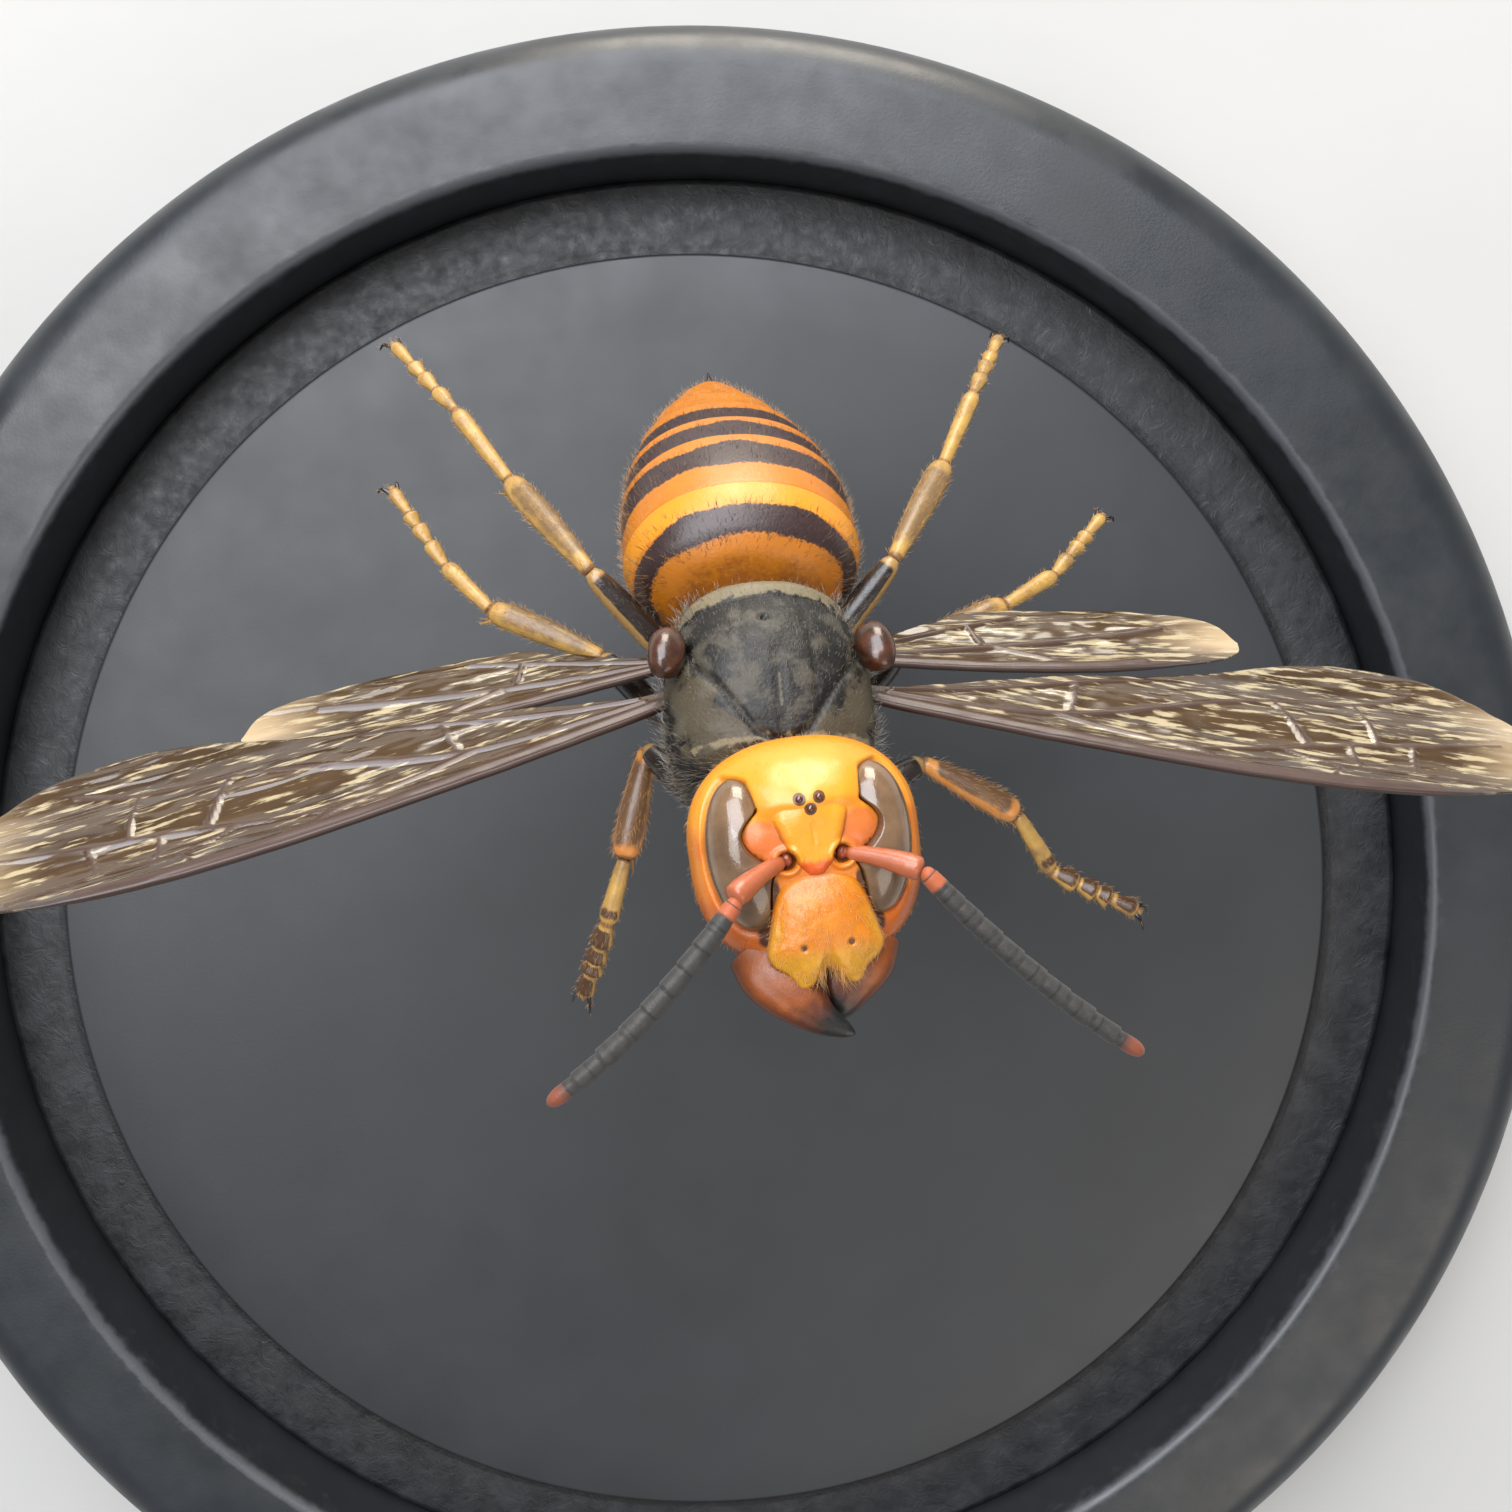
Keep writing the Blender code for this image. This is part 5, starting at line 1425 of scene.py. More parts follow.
@dataclass
class Antenna:
    """One antenna: a long smooth scape, a small elbow joint and a whip of ten velvety joints."""

    side: Side
    socket: Spot = (1.15, -2.1, -0.45)
    scape_ends: dict[Side, Spot] = field(default_factory=lambda: {
        Side.RIGHT: (-3.8, -4.0, -1.4), Side.LEFT: (4.25, -3.65, -1.45),
    })
    whips: dict[Side, tuple[Spot, ...]] = field(default_factory=lambda: {
        Side.RIGHT: ((-3.8, -4.05, -1.7), (-5.1, -4.3, -3.0), (-8.2, -4.9, -6.2), (-12.4, -4.8, -8.5)),
        Side.LEFT: ((4.45, -3.75, -1.7), (6.0, -4.0, -3.8), (9.0, -4.3, -7.6), (12.6, -4.5, -10.5)),
    })
    scape_profile: Outline = (
        (-0.03, 0.2), (0.0, 0.34), (0.05, 0.34), (0.08, 0.22), (0.14, 0.33), (0.5, 0.42), (0.85, 0.55),
        (0.97, 0.5), (1.0, 0.3),
    )
    joints: int = 10
    joint_rows: int = 12
    radius: float = 0.48
    elbow_radii: Spot = (0.33, 0.33, 0.36)

    scape_cuticle: Finish = Finish(
        # The scape is smooth waxed chitin, orange with a pink cast where it is thin
        "scape_chitin", "A65C3C", "944C28", 0.34, mottle_mm=0.8, grain_mm=0.1,
        coat=0.3, coat_roughness=0.2, subsurface=0.15,
        layers=(Layer("base", "7E2F10", 0.5, 0.4, 0.1, 0.3, cover=0.8),),
    )
    whip_cuticle: Finish = Finish(
        # The whip's joints are covered by sense hairs too short to see, which read as dark grey velvet
        "flagellum_chitin", "262523", "3A3733", 0.6, mottle_mm=0.35, grain_mm=0.09, depth_mm=0.02,
        sheen=0.12, coat=0.05,
        layers=(
            Layer("root", "A8532B", 0.5, 0.3, 0.1, 0.3, cover=0.9),
            Layer("tip", "7E3B1E", 0.5, 0.4, 0.1, 0.3, cover=0.85),
            Layer("joint", "121110", 0.5, 0.3, 0.0, cover=0.8),
        ),
    )

    def build_scape(self) -> None:
        """The scape, from its ball in the socket to its swollen end."""
        x, y, z = self.socket
        start = np.array((self.side.value * x, y + 0.1, z))
        end = np.array(self.scape_ends[self.side])
        shares = np.concatenate([np.linspace(-0.03, 0.12, 14), np.linspace(0.15, 1.0, 34)])
        path = start + (end - start) * shares[:, None]
        path[:, 2] += 0.12 * np.sin(np.clip(shares, 0, 1) * math.pi)
        form = Form.swept(path, np.interp(shares, *zip(*self.scape_profile)), 28)
        form.paint("base", step(form.painted("along"), 0.2, 0.05))
        name, solid = f"scape_shaft_{self.side.word}", f"antenna_scape_{self.side.word}"
        form.place(name, HEAD_FRAME, self.scape_cuticle, "scape_cuticle", [solid])

    def build_whip(self) -> None:
        """The elbow and the flagellum's joints, each a little wider at its far end."""
        shares = np.linspace(0, 1, self.joints * self.joint_rows + 1)
        path = bezier(self.whips[self.side], shares)
        joint = np.minimum((shares * self.joints).astype(int), self.joints - 1)
        within = shares * self.joints - joint
        taper = 0.8 + 0.2 * np.sin(math.pi * np.minimum(1.0, (joint + 1) / 4) / 2)
        taper *= np.where(joint >= self.joints - 2, 1.0 - 0.1 * (joint - self.joints + 3), 1.0)
        swell = 0.92 + 0.10 * within - 0.07 * ridge(within, 0.07) - 0.05 * ridge(1 - within, 0.05)
        last = (joint == self.joints - 1) & (within > 0.45)
        swell *= np.where(last, np.sqrt(np.clip(1 - ((within - 0.45) / 0.56) ** 2, 0, 1)), 1.0)
        form = Form.swept(path, self.radius * taper * swell, 24)
        along = form.painted("along")
        form.paint("root", step(along, 0.075, 0.03))
        form.paint("tip", step(along, 0.86, 0.98))
        place = along * self.joints
        form.paint("joint", ridge(place - np.rint(place), 0.06))
        elbow = Form.ball(ball_place(self.whips[self.side][0], self.elbow_radii))
        elbow.paint("root", np.ones(len(elbow.mesh.verts)))
        form.join(elbow)
        name, solid = f"whip_{self.side.word}", f"antenna_flagellum_{self.side.word}"
        form.place(name, HEAD_FRAME, self.whip_cuticle, "flagellum_cuticle", [solid])


class Pair(Enum):
    """The three pairs of legs."""

    FORE = "fore"
    MID = "mid"
    HIND = "hind"


@dataclass
class Leg:
    """One leg, posed by the heading (0 out to the side, 90 to the rear) and lift of each segment."""

    pair: Pair
    side: Side
    pose: tuple[tuple[float, float], ...]
    lengths: dict[Pair, tuple[float, float, float, float]] = field(default_factory=lambda: {
        Pair.FORE: (6.3, 5.4, 3.4, 4.6), Pair.MID: (7.2, 6.6, 4.0, 5.5), Pair.HIND: (8.2, 8.2, 5.3, 6.6),
    })
    coxae: dict[Pair, tuple[Spot, ...]] = field(default_factory=lambda: {
        Pair.FORE: ((1.5, -3.3, -2.8), (2.05, -4.9, -3.9)), Pair.MID: ((2.3, 0.8, -3.2), (3.6, 1.2, -4.5)),
        Pair.HIND: ((2.0, 3.3, -3.0), (2.5, 4.5, -4.5)),
    })
    femur_profile: Outline = (
        (0.0, 0.3), (0.02, 0.45), (0.06, 0.5), (0.12, 0.36), (0.2, 0.5), (0.45, 0.72), (0.75, 0.7),
        (0.9, 0.6), (0.97, 0.5), (1.0, 0.3),
    )
    tibia_profile: Outline = (
        (0.0, 0.3), (0.03, 0.4), (0.08, 0.42), (0.25, 0.56), (0.55, 0.7), (0.85, 0.72), (0.96, 0.62),
        (1.0, 0.4),
    )
    coxa_profile: Outline = ((0, 0.95), (0.3, 1.05), (0.7, 0.95), (0.92, 0.72), (1.0, 0.4))
    # The joints of the foot: the long first one, the three heart-shaped ones and the one with the claws
    long_joint: Outline = ((0, 0.55), (0.08, 0.7), (0.3, 0.8), (0.9, 1.0), (1.0, 0.6))
    heart_joint: Outline = ((0, 0.5), (0.12, 0.6), (0.75, 1.0), (0.93, 0.95), (1.0, 0.5))
    claw_joint: Outline = ((0, 0.5), (0.2, 0.6), (0.8, 0.85), (1.0, 0.6))
    tarsomeres: tuple[float, ...] = (0.30, 0.22, 0.16)
    spur: float = 1.5
    claw: float = 1.0
    pad_radii: Spot = (0.2, 0.2, 0.14)

    dark_cuticle: Finish = Finish(
        # Thigh and hip plates are thick black chitin with a satin gloss and browner joints
        "femur_chitin", "1A1614", "35241A", 0.3, mottle_mm=1.1, grain_mm=0.13,
        depth_mm=0.018, coat=0.35, coat_roughness=0.2,
        layers=(Layer("knee", "A07C48", 0.5, 0.25, 0.12, 0.4, cover=0.9),),
    )
    tan_cuticle: Finish = Finish(
        # Shin and foot chitin is thin and half clear, tan to yellow over brown, under short gold hairs
        "tibia_chitin", "B08A42", "8C6A3A", 0.38, mottle_mm=0.8, mottle_cover=0.75, grain_mm=0.12,
        depth_mm=0.016, coat=0.2, coat_roughness=0.3, subsurface=0.12,
        layers=(
            Layer("streak", "5A4530", 0.45, 0.3, 0.25, 0.7, cover=0.8),
            Layer("mark", "34180D", 0.5, 0.25, 0.15, 0.4, cover=0.92),
            Layer("joint", "6B4526", 0.5, 0.3, 0.1, 0.3, cover=0.8),
            Layer("claw", "14100E", 0.5, 0.2, 0.0, roughness=0.2),
        ),
    )
    fore_cuticle: Finish = Finish(
        # The front shins are redder and thicker, with a worn dark upper face
        "fore_tibia_chitin", "BC7730", "CE9450", 0.36, mottle_mm=1.1, mottle_cover=0.7, grain_mm=0.12,
        depth_mm=0.016, coat=0.25, coat_roughness=0.25, subsurface=0.1,
        layers=(
            Layer("streak", "3B332B", 0.5, 0.3, 0.25, 0.7, cover=0.85),
            Layer("joint", "6B4526", 0.5, 0.3, 0.1, 0.3, cover=0.8),
            Layer("claw", "14100E", 0.5, 0.2, 0.0, roughness=0.2),
        ),
    )

    @property
    def word(self) -> str:
        """The leg's name as the nodes spell it."""
        return f"{self.pair.value}_{self.side.word}"

    def heading(self, index: int) -> Array:
        """Turns a segment's pose to a direction.

        Args:
            index: The segment's number from the thigh.

        Returns:
            The direction in the body's frame.
        """
        turn, lift = (math.radians(angle) for angle in self.pose[index])
        across = self.side.value * math.cos(lift) * math.cos(turn)
        return np.array((across, math.cos(lift) * math.sin(turn), math.sin(lift)))

    def joints(self) -> list[Array]:
        """Follows the leg from joint to joint.

        Returns:
            The hip's root, the hip, knee, ankle, the bend of the foot and its end.
        """
        found = [np.array(place) * (self.side.value, 1, 1) for place in self.coxae[self.pair]]
        for index, length in enumerate(self.lengths[self.pair]):
            found.append(found[-1] + self.heading(index) * length)
        return found

    def build(self) -> list[Piece]:
        """Builds the hip, thigh, shin and foot."""
        return [self._build_hip(), self._build_thigh(), self._build_shin(), self._build_foot()]

    def _segment(self, start: Array, end: Array, profile: Outline, bow: float) -> Form:
        """A segment of a leg between two joints, bowed a little upwards.

        Args:
            start: Its upper joint.
            end: Its lower joint.
            profile: Radii by the share along it.
            bow: How far its middle stands up.

        Returns:
            The form.
        """
        shares = np.linspace(0, 1, 56)
        path = start + (end - start) * shares[:, None]
        path[:, 2] += bow * np.sin(shares * math.pi)
        widths = np.interp(shares, *zip(*profile))
        widths = np.convolve(np.pad(widths, 1, mode="edge"), (0.25, 0.5, 0.25), "valid")
        return Form.swept(path, widths, 30, 0.92)

    def _build_hip(self) -> Piece:
        """The coxa, a blunt cone under the thorax.

        Returns:
            The placed hip.
        """
        root, hip = self.joints()[:2]
        shares = np.linspace(0, 1, 20)
        widths = np.interp(shares, *zip(*self.coxa_profile))
        form = Form.swept(root + (hip - root) * shares[:, None], widths, 32)
        form.paint("knee", step(form.painted("along"), 0.9, 1.0) * 0.6)
        name = f"hip_{self.word}"
        return form.place(name, BODY_FRAME, self.dark_cuticle, "black_cuticle", [f"leg_{self.word}_coxa"])

    def _build_thigh(self) -> Piece:
        """The trochanter's ring and the femur, black above with a tan edge and knee.

        Returns:
            The placed thigh.
        """
        form = self._segment(*self.joints()[1:3], self.femur_profile, 0.12)
        along, upper = form.painted("along"), form.painted("upper")
        under = step(upper, 0.6, 0.3) if self.pair is Pair.HIND else step(upper, -0.2, -0.8) * 0.6
        form.paint("knee", np.maximum(step(along, 0.9, 0.98), under * step(along, 0.2, 0.4)))
        name = f"thigh_{self.word}"
        return form.place(name, BODY_FRAME, self.dark_cuticle, "black_cuticle", [f"leg_{self.word}_femur"])

    def _build_shin(self) -> Piece:
        """The tibia with its spurs.

        Returns:
            The placed shin.
        """
        knee, ankle = self.joints()[2:4]
        form = self._segment(knee, ankle, self.tibia_profile, 0.1)
        along, upper = form.painted("along"), form.painted("upper")
        share = 0.9 if self.pair is Pair.FORE else 0.65
        form.paint("streak", step(upper, 0.0, 0.7) * step(along, 0.05, 0.2) * step(along, 0.98, 0.8) * share)
        form.paint("joint", np.maximum(step(along, 0.06, 0.0), step(along, 0.95, 1.0)))
        ahead = self.heading(1)
        for turn in ((-1, 1) if self.pair is not Pair.FORE else (1,)):
            hint = np.array((0.35 * turn, 0, -1))
            down = hint - ahead * (ahead @ hint)
            down /= np.linalg.norm(down)
            start = ankle - ahead * 0.5 + down * 0.25
            tip = start + ahead * self.spur * 0.75 + down * self.spur * 0.6
            path = curve([start, (start + tip) / 2 + down * 0.08, tip], 12)
            form.join(Form.swept(path, np.linspace(0.13, 0.025, 12), 10))
        name = f"shin_{self.word}"
        finish = self.fore_cuticle if self.pair is Pair.FORE else self.tan_cuticle
        return form.place(name, BODY_FRAME, finish, "leg_cuticle", [f"leg_{self.word}_tibia"])

    def _build_foot(self) -> Piece:
        """The long first joint of the foot, the four short ones and the two claws.

        Returns:
            The placed foot.
        """
        ankle, bend, end = self.joints()[3:]
        places, widths, marks = [], [], []
        starts = [ankle, bend]
        for share in self.tarsomeres:
            starts.append(starts[-1] + (end - bend) * share)
        stops = [*starts[1:], end]
        for number, (start, stop) in enumerate(zip(starts, stops)):
            wide = 0.5 if number == 0 else 0.6 if self.pair is Pair.FORE else 0.46
            within = np.linspace(0.02, 0.97, 20 if number == 0 else 11)
            profile = {0: self.long_joint, 4: self.claw_joint}.get(number, self.heart_joint)
            places.append(start + (stop - start) * within[:, None])
            widths.append(np.interp(within, *zip(*profile)) * wide)
            marks.append(within)
        path, radii = np.concatenate(places), np.concatenate(widths)
        form = Form.swept(path, radii, 22, 0.85)
        reach = np.r_[0, np.cumsum(np.linalg.norm(np.diff(path, axis=0), axis=1))]
        along = form.painted("along")
        index = np.interp(along, reach / reach[-1], np.arange(len(path)))
        within = np.interp(index, np.arange(len(path)), np.concatenate(marks))
        form.paint("joint", np.maximum(step(within, 0.1, 0.0), step(within, 0.92, 1.0)) * 0.9)
        form.paint("streak", 0.45 * step(ripple(form.points(), 0.5, 7.0), -0.1, 0.4))
        if self.pair is Pair.FORE:
            inner = step(within, 0.08, 0.3) * step(within, 0.98, 0.8) * step(along, 0.28, 0.36)
            form.paint("mark", step(form.painted("upper"), 0.15, 0.5) * inner)
        ahead = (end - bend) / np.linalg.norm(end - bend)
        across = np.cross(ahead, (0, 0, 1))
        across /= np.linalg.norm(across)
        for turn in (-1, 1):
            root = end - ahead * 0.35 + across * 0.12 * turn
            middle = end + ahead * self.claw * 0.3 + across * 0.45 * turn
            tip = middle + ahead * self.claw * 0.3 + across * 0.12 * turn - (0, 0, self.claw * 0.5)
            claw = Form.swept(curve([root, middle, tip], 16), np.linspace(0.15, 0.03, 16), 12)
            claw.paint("claw", np.ones(len(claw.mesh.verts)))
            form.join(claw)
        pad = Form.ball(ball_place(end + ahead * 0.1, self.pad_radii))
        pad.paint("joint", np.ones(len(pad.mesh.verts)))
        form.join(pad)
        name = f"foot_{self.word}"
        return form.place(name, BODY_FRAME, self.tan_cuticle, "leg_cuticle", [f"leg_{self.word}_tarsus"])


@dataclass
class Wing:
    """One wing: a thin amber membrane, thickened along its veins, in millimetres from its hinge."""

    name: str
    side: Side
    hinge: Spot
    sweep: float
    lift: float
    droop: float
    # How much of the wing carries painted glints, pale streaks that stand in for light on the wrinkles
    painted_glint: float
    leading: Outline
    trailing: Outline
    veins: tuple[Outline, ...]
    tip_pale: float
    vein_widths: tuple[float, ...] = (0.30, 0.17, 0.17, 0.12)
    edge_points: int = 400
    faces: tuple[int, int] = (300, 76)
    curve_height: float = 0.9
    span: float = 33.0
    fold_depth: float = 0.18
    fold_rate: float = 1.3
    half_thickness: float = 0.05

    membrane: Finish = Finish(
        # Wing membrane is dry clear chitin film, smoky amber, which wrinkles like cellophane; its glints are
        # partly gloss on the wrinkles and partly painted pale streaks
        "amber_membrane", "46321B", "2C1D10", 0.16, mottle_mm=2.4, mottle_cover=0.75, rough_spread=0.06,
        grain=Grain.WRINKLES, grain_mm=1.1, depth_mm=0.24, stretch=(0.17, 1.2, 1.0),
        space=Space.SURFACE, coat=0.15, coat_roughness=0.12, ior=1.6,
        layers=(
            Layer("tip", "B59E7C", 0.5, 0.45, 0.2, 1.5, cover=0.85),
            # Painted highlight: pale cream streaks laid into the colour where the wrinkles glint
            Layer("painted_glint", "B3A482", 0.5, 0.12, 0.55, 0.42, cover=0.75, roughness=0.12),
            Layer("front", "2A1816", 0.5, 0.35, 0.1, 0.8, cover=0.97, roughness=0.42),
            Layer("vein", "3A2115", 0.45, 0.25, 0.0, cover=0.95, roughness=0.45),
        ),
    )

    def frame(self) -> tuple[Array, Array, Array]:
        """Turns the wing's sweep, lift and droop to directions.

        Returns:
            The directions along the span, across the chord and off the wing.
        """
        sweep, lift, droop = (math.radians(angle) for angle in (self.sweep, self.lift, self.droop))
        out, ahead = self.side.value * math.cos(sweep), -math.sin(sweep)
        along = np.array((math.cos(lift) * out, math.cos(lift) * ahead, math.sin(lift)))
        chord = np.array((0, math.cos(droop), -math.sin(droop)))
        chord -= along * (along @ chord)
        chord /= np.linalg.norm(chord)
        return along, chord, np.cross(along, chord) * self.side.value

    def build(self) -> None:
        """The membrane in one closed sheet with its veins raised on both faces."""
        front, rear = curve(self.leading, self.edge_points), curve(self.trailing, self.edge_points)
        form, around, across = Form.grid(*self.faces)
        share = 0.6 * around + 0.4 * (np.sin((around - 0.5) * math.pi) * 0.5 + 0.5)
        index, known = share * (len(front) - 1), range(len(front))
        low = np.column_stack([np.interp(index, known, front[:, k]) for k in range(2)])
        high = np.column_stack([np.interp(index, known, rear[:, k]) for k in range(2)])
        plan = low + (high - low) * across[:, None]
        form.move(np.column_stack([plan, np.zeros(len(plan))]))
        plan = form.points()[:, :2]
        form.paint_place(plan)
        vein = self._paint(form, plan, line_distance(plan, front))
        height = self._height(plan, line_distance(plan, rear), vein)
        along, chord, off = self.frame()
        middle = np.array(self.hinge) + plan[:, :1] * along + plan[:, 1:] * chord + height[:, None] * off
        half = self.half_thickness + 0.14 * vein
        form.move(middle + off * half[:, None])
        sheet = form.mesh.verts[:] + form.mesh.edges[:] + form.mesh.faces[:]
        made = bmesh.ops.duplicate(form.mesh, geom=sheet)["geom"]
        below = [item for item in made if isinstance(item, bmesh.types.BMVert)]
        for vert, place, thick in zip(below, middle, half):
            vert.co = place - off * thick
        bmesh.ops.bridge_loops(form.mesh, edges=[edge for edge in form.mesh.edges if edge.is_boundary])
        form.place(self.name + "_sheet", BODY_FRAME, self.membrane, "wing_membrane", [self.name])

    def _paint(self, form: Form, plan: Array, edge: Array) -> Array:
        """Marks the veins, the dark front, the pale tip and the painted glints.

        Args:
            form: The sheet, to be painted.
            plan: Its points, along the span and across the chord.
            edge: Each point's distance from the leading edge.

        Returns:
            How much each point is part of a vein, from 0 to 1.
        """
        x, pale = plan[:, 0], self.tip_pale
        vein = np.zeros(len(plan))
        for number, line in enumerate(self.veins):
            width = self.vein_widths[min(number, len(self.vein_widths) - 1)]
            fade = 1 - 0.45 * step(x, 20, 31)
            vein = np.maximum(vein, ridge(line_distance(plan, curve(line, 30)), width) * fade)
        vein = np.maximum(vein, 0.8 * ridge(edge, 0.22) * step(x, pale - 3.5, pale - 8))
        form.paint("vein", vein)
        width = np.interp(x / pale, (0.0, 0.35, 0.8), (1.35, 1.25, 0.6))
        form.paint("front", step(edge, width, 0.3 * width) * step(x, pale * 0.97, pale * 0.8))
        form.paint("tip", step(x, pale - 7, pale + 2) * step(plan[:, 1], -0.5, 2.0))
        # The painted glints: pale streaks in the colour that stand in for light caught by the wrinkles
        cloud = ripple(np.column_stack([plan * (0.35, 0.6), x * 0]), 0.8, 2.0)
        form.paint("painted_glint", self.painted_glint + 0.18 * cloud - 0.3 * step(x, 3.0, 0.5))
        return vein

    def _height(self, plan: Array, edge: Array, vein: Array) -> Array:
        """Lifts the sheet off the flat: its arch, its long folds and its crumpled rear.

        Args:
            plan: Its points, along the span and across the chord.
            edge: Each point's distance from the trailing edge.
            vein: How much each is part of a vein, which stays smooth.

        Returns:
            One height for each point, in millimetres.
        """
        share = plan[:, 0] / self.span
        fold = self.fold_depth * np.sin(self.fold_rate * plan[:, 1]) * np.minimum(1, 3 * share)
        flat = np.column_stack([plan * (0.5, 1.0), plan[:, 0] * 0])
        wave = 0.05 * ripple(flat, 1.6, 1.0) + 0.09 * ripple(flat, 0.7, 6.0) * step(edge, 2.5, 0.0)
        return self.curve_height * share**2 - fold + wave * step(plan[:, 0], 1.0, 4.0) * (1 - 0.8 * vein)


@dataclass
class Stand:
    """The display base and the steel pin that the hornet stands on."""

    around: int = 288
    rim_radius: float = 58.8
    rim_flat: float = 55.4
    recess: float = 49.7
    height: float = 16.0
    floor: float = 10.0
    plate: float = 44.5
    plate_height: float = 11.0
    pin_radius: float = 0.5
    collar: Outline = ((0.0, 0.0), (1.6, 0.0), (1.6, 0.5), (1.5, 0.75), (1.1, 1.0), (0.7, 1.15))
    pin_in_thorax: Spot = (0.0, 1.6, -3.9)

    rim_paint: Finish = Finish(
        # Black lacquer on a turned base: a smooth satin skin, which dust and handling turn bluish grey; the
        # pale line along its rounded inner edge is a painted highlight
        "lacquered_rim", "1E2124", "2A2E33", 0.4, mottle_mm=9.0, mottle_cover=0.3, rough_spread=0.1,
        grain_mm=0.25, coat=0.1, coat_roughness=0.35,
        layers=(Layer("painted_edge_highlight", "4A4C50", 0.5, 0.3, 0.3, 1.2, cover=0.6),),
    )
    groove_paint: Finish = Finish(
        # The groove's floor has the same lacquer, scuffed by years of dusting into short pale scratches, with
        # a painted shadow at the plate's foot
        "scuffed_lacquer", "141517", "2E2F31", 0.45, mottle_mm=2.5, mottle_cover=0.7, rough_spread=0.15,
        grain=Grain.SCUFFS, grain_mm=1.4, depth_mm=0.08,
        # Painted shadow: a near-black ring on the groove's floor at the foot of the plate
        layers=(Layer("line", "060607", 0.5, 0.2, 0.0, cover=0.95),),
    )
    plate_paint: Finish = Finish(
        # The plate is fine-brushed and lacquered almost flat, so it takes the soft light as one even grey
        "satin_lacquer", "242628", "2D2F32", 0.46, mottle_mm=14.0, mottle_cover=0.5, rough_spread=0.05,
        grain_mm=0.22, depth_mm=0.006, coat=0.15, coat_roughness=0.4,
    )
    pin_steel: Finish = Finish(
        # Insect pins are drawn spring steel, bright with fine lengthwise lines
        "drawn_steel", "8E8C88", "6F6D69", 0.28, depth_mm=0.004,
        stretch=(1.0, 1.0, 0.1), metallic=1.0,
    )

    def _turned(self, profile: Outline) -> Form:
        """Spins a profile round the upright axis.

        Args:
            profile: Radii and heights.

        Returns:
            The turned form.
        """
        mesh = bmesh.new()
        points = [mesh.verts.new((radius, 0, height)) for radius, height in profile]
        edges = [mesh.edges.new(pair) for pair in zip(points[:-1], points[1:])]
        bmesh.ops.spin(
            mesh, geom=points + edges, cent=(0, 0, 0), axis=(0, 0, 1), dvec=(0, 0, 0),
            angle=math.tau, steps=self.around, use_merge=True, use_duplicate=False,
        )
        return Form(mesh)

    def _arc(self, middle: tuple[float, float], radius: float, start: float, steps: int) -> Outline:
        """Points of a rounded edge in the profile, which turns through a quarter."""
        angles = np.radians(np.linspace(start, start + 90, steps + 1))
        return [(middle[0] + radius * math.cos(a), middle[1] + radius * math.sin(a)) for a in angles]

    def build_rim(self) -> None:
        """The ring round the base, with its broad rounded outer edge."""
        bevel = self.rim_radius - self.rim_flat
        profile = [(self.recess, 0.0), (self.rim_radius - 0.6, 0.0), (self.rim_radius - 0.15, 0.15)]
        profile += [(self.rim_radius, height) for height in (0.6, 4.0, 8.0, 11.0)]
        profile += self._arc((self.rim_flat, self.height - bevel), bevel, 0, 14)
        profile += [(54.0, self.height), (52.5, self.height), (51.3, self.height)]
        profile += self._arc((self.recess + 0.8, self.height - 0.8), 0.8, 90, 8)
        profile += [(self.recess, 12.0), (self.recess, 0.0)]
        form = self._turned(profile)
        form.tidy()
        points = form.points()
        radius = np.hypot(points[:, 0], points[:, 1])
        # Painted highlight: a pale line where the rounded inner edge catches the light
        form.paint("painted_edge_highlight", ridge(radius - self.recess - 0.4, 0.35) * (points[:, 2] > 15))
        form.place("rim_ring", BASE_FRAME, self.rim_paint, "turned_base", ["stand_rim"])

    def build_plate(self) -> None:
        """The raised plate and the groove's floor round it, with a painted shadow at the plate's foot."""
        outer = self.recess - 0.05
        radii = np.linspace(outer, self.plate + 0.15, 14)
        profile = [(0.0, 0.0), (outer, 0.0), *[(radius, self.floor) for radius in radii]]
        profile += [(self.plate, self.floor + 0.1), (self.plate, self.plate_height - 0.3)]
        profile += self._arc((self.plate - 0.3, self.plate_height - 0.3), 0.3, 0, 5)
        profile += [(radius, self.plate_height) for radius in (40.0, 30.0, 20.0, 10.0, 3.0, 0.0)]
        form = self._turned(profile)
        piece = form.place(
            "groove_and_plate", BASE_FRAME, self.plate_paint, "turned_base", ["stand_floor"]
        )
        piece.data.materials.append(self.groove_paint.build())
        for face in piece.data.polygons:
            radius = math.hypot(face.center.x, face.center.y) / MM
            face.material_index = int(radius > self.plate - 0.02)
        # A painted shadow in the groove, just outside the plate's wall
        attribute = piece.data.attributes.new("line", "FLOAT", "POINT")
        places = np.empty(len(piece.data.vertices) * 3)
        piece.data.vertices.foreach_get("co", places)
        radius = np.hypot(*places.reshape(-1, 3)[:, :2].T) / MM
        attribute.data.foreach_set("value", ridge(radius - self.plate - 0.5, 0.35).astype(np.float32))

    def build_pin(self) -> None:
        """The pin from the plate to the underside of the thorax, with its glued collar."""
        top = BODY_FRAME @ Vector(self.pin_in_thorax) / MM
        foot = self.plate_height + 0.05
        profile = [(radius, foot + height) for radius, height in self.collar]
        profile += [(self.pin_radius, foot + 1.3), (self.pin_radius, top.z), (0.0, top.z)]
        form = self._turned(profile)
        form.mesh.transform(Matrix.Translation((top.x, top.y, 0)))
        form.place("pin_shaft", BASE_FRAME, self.pin_steel, "steel_pin", ["stand_pin"])


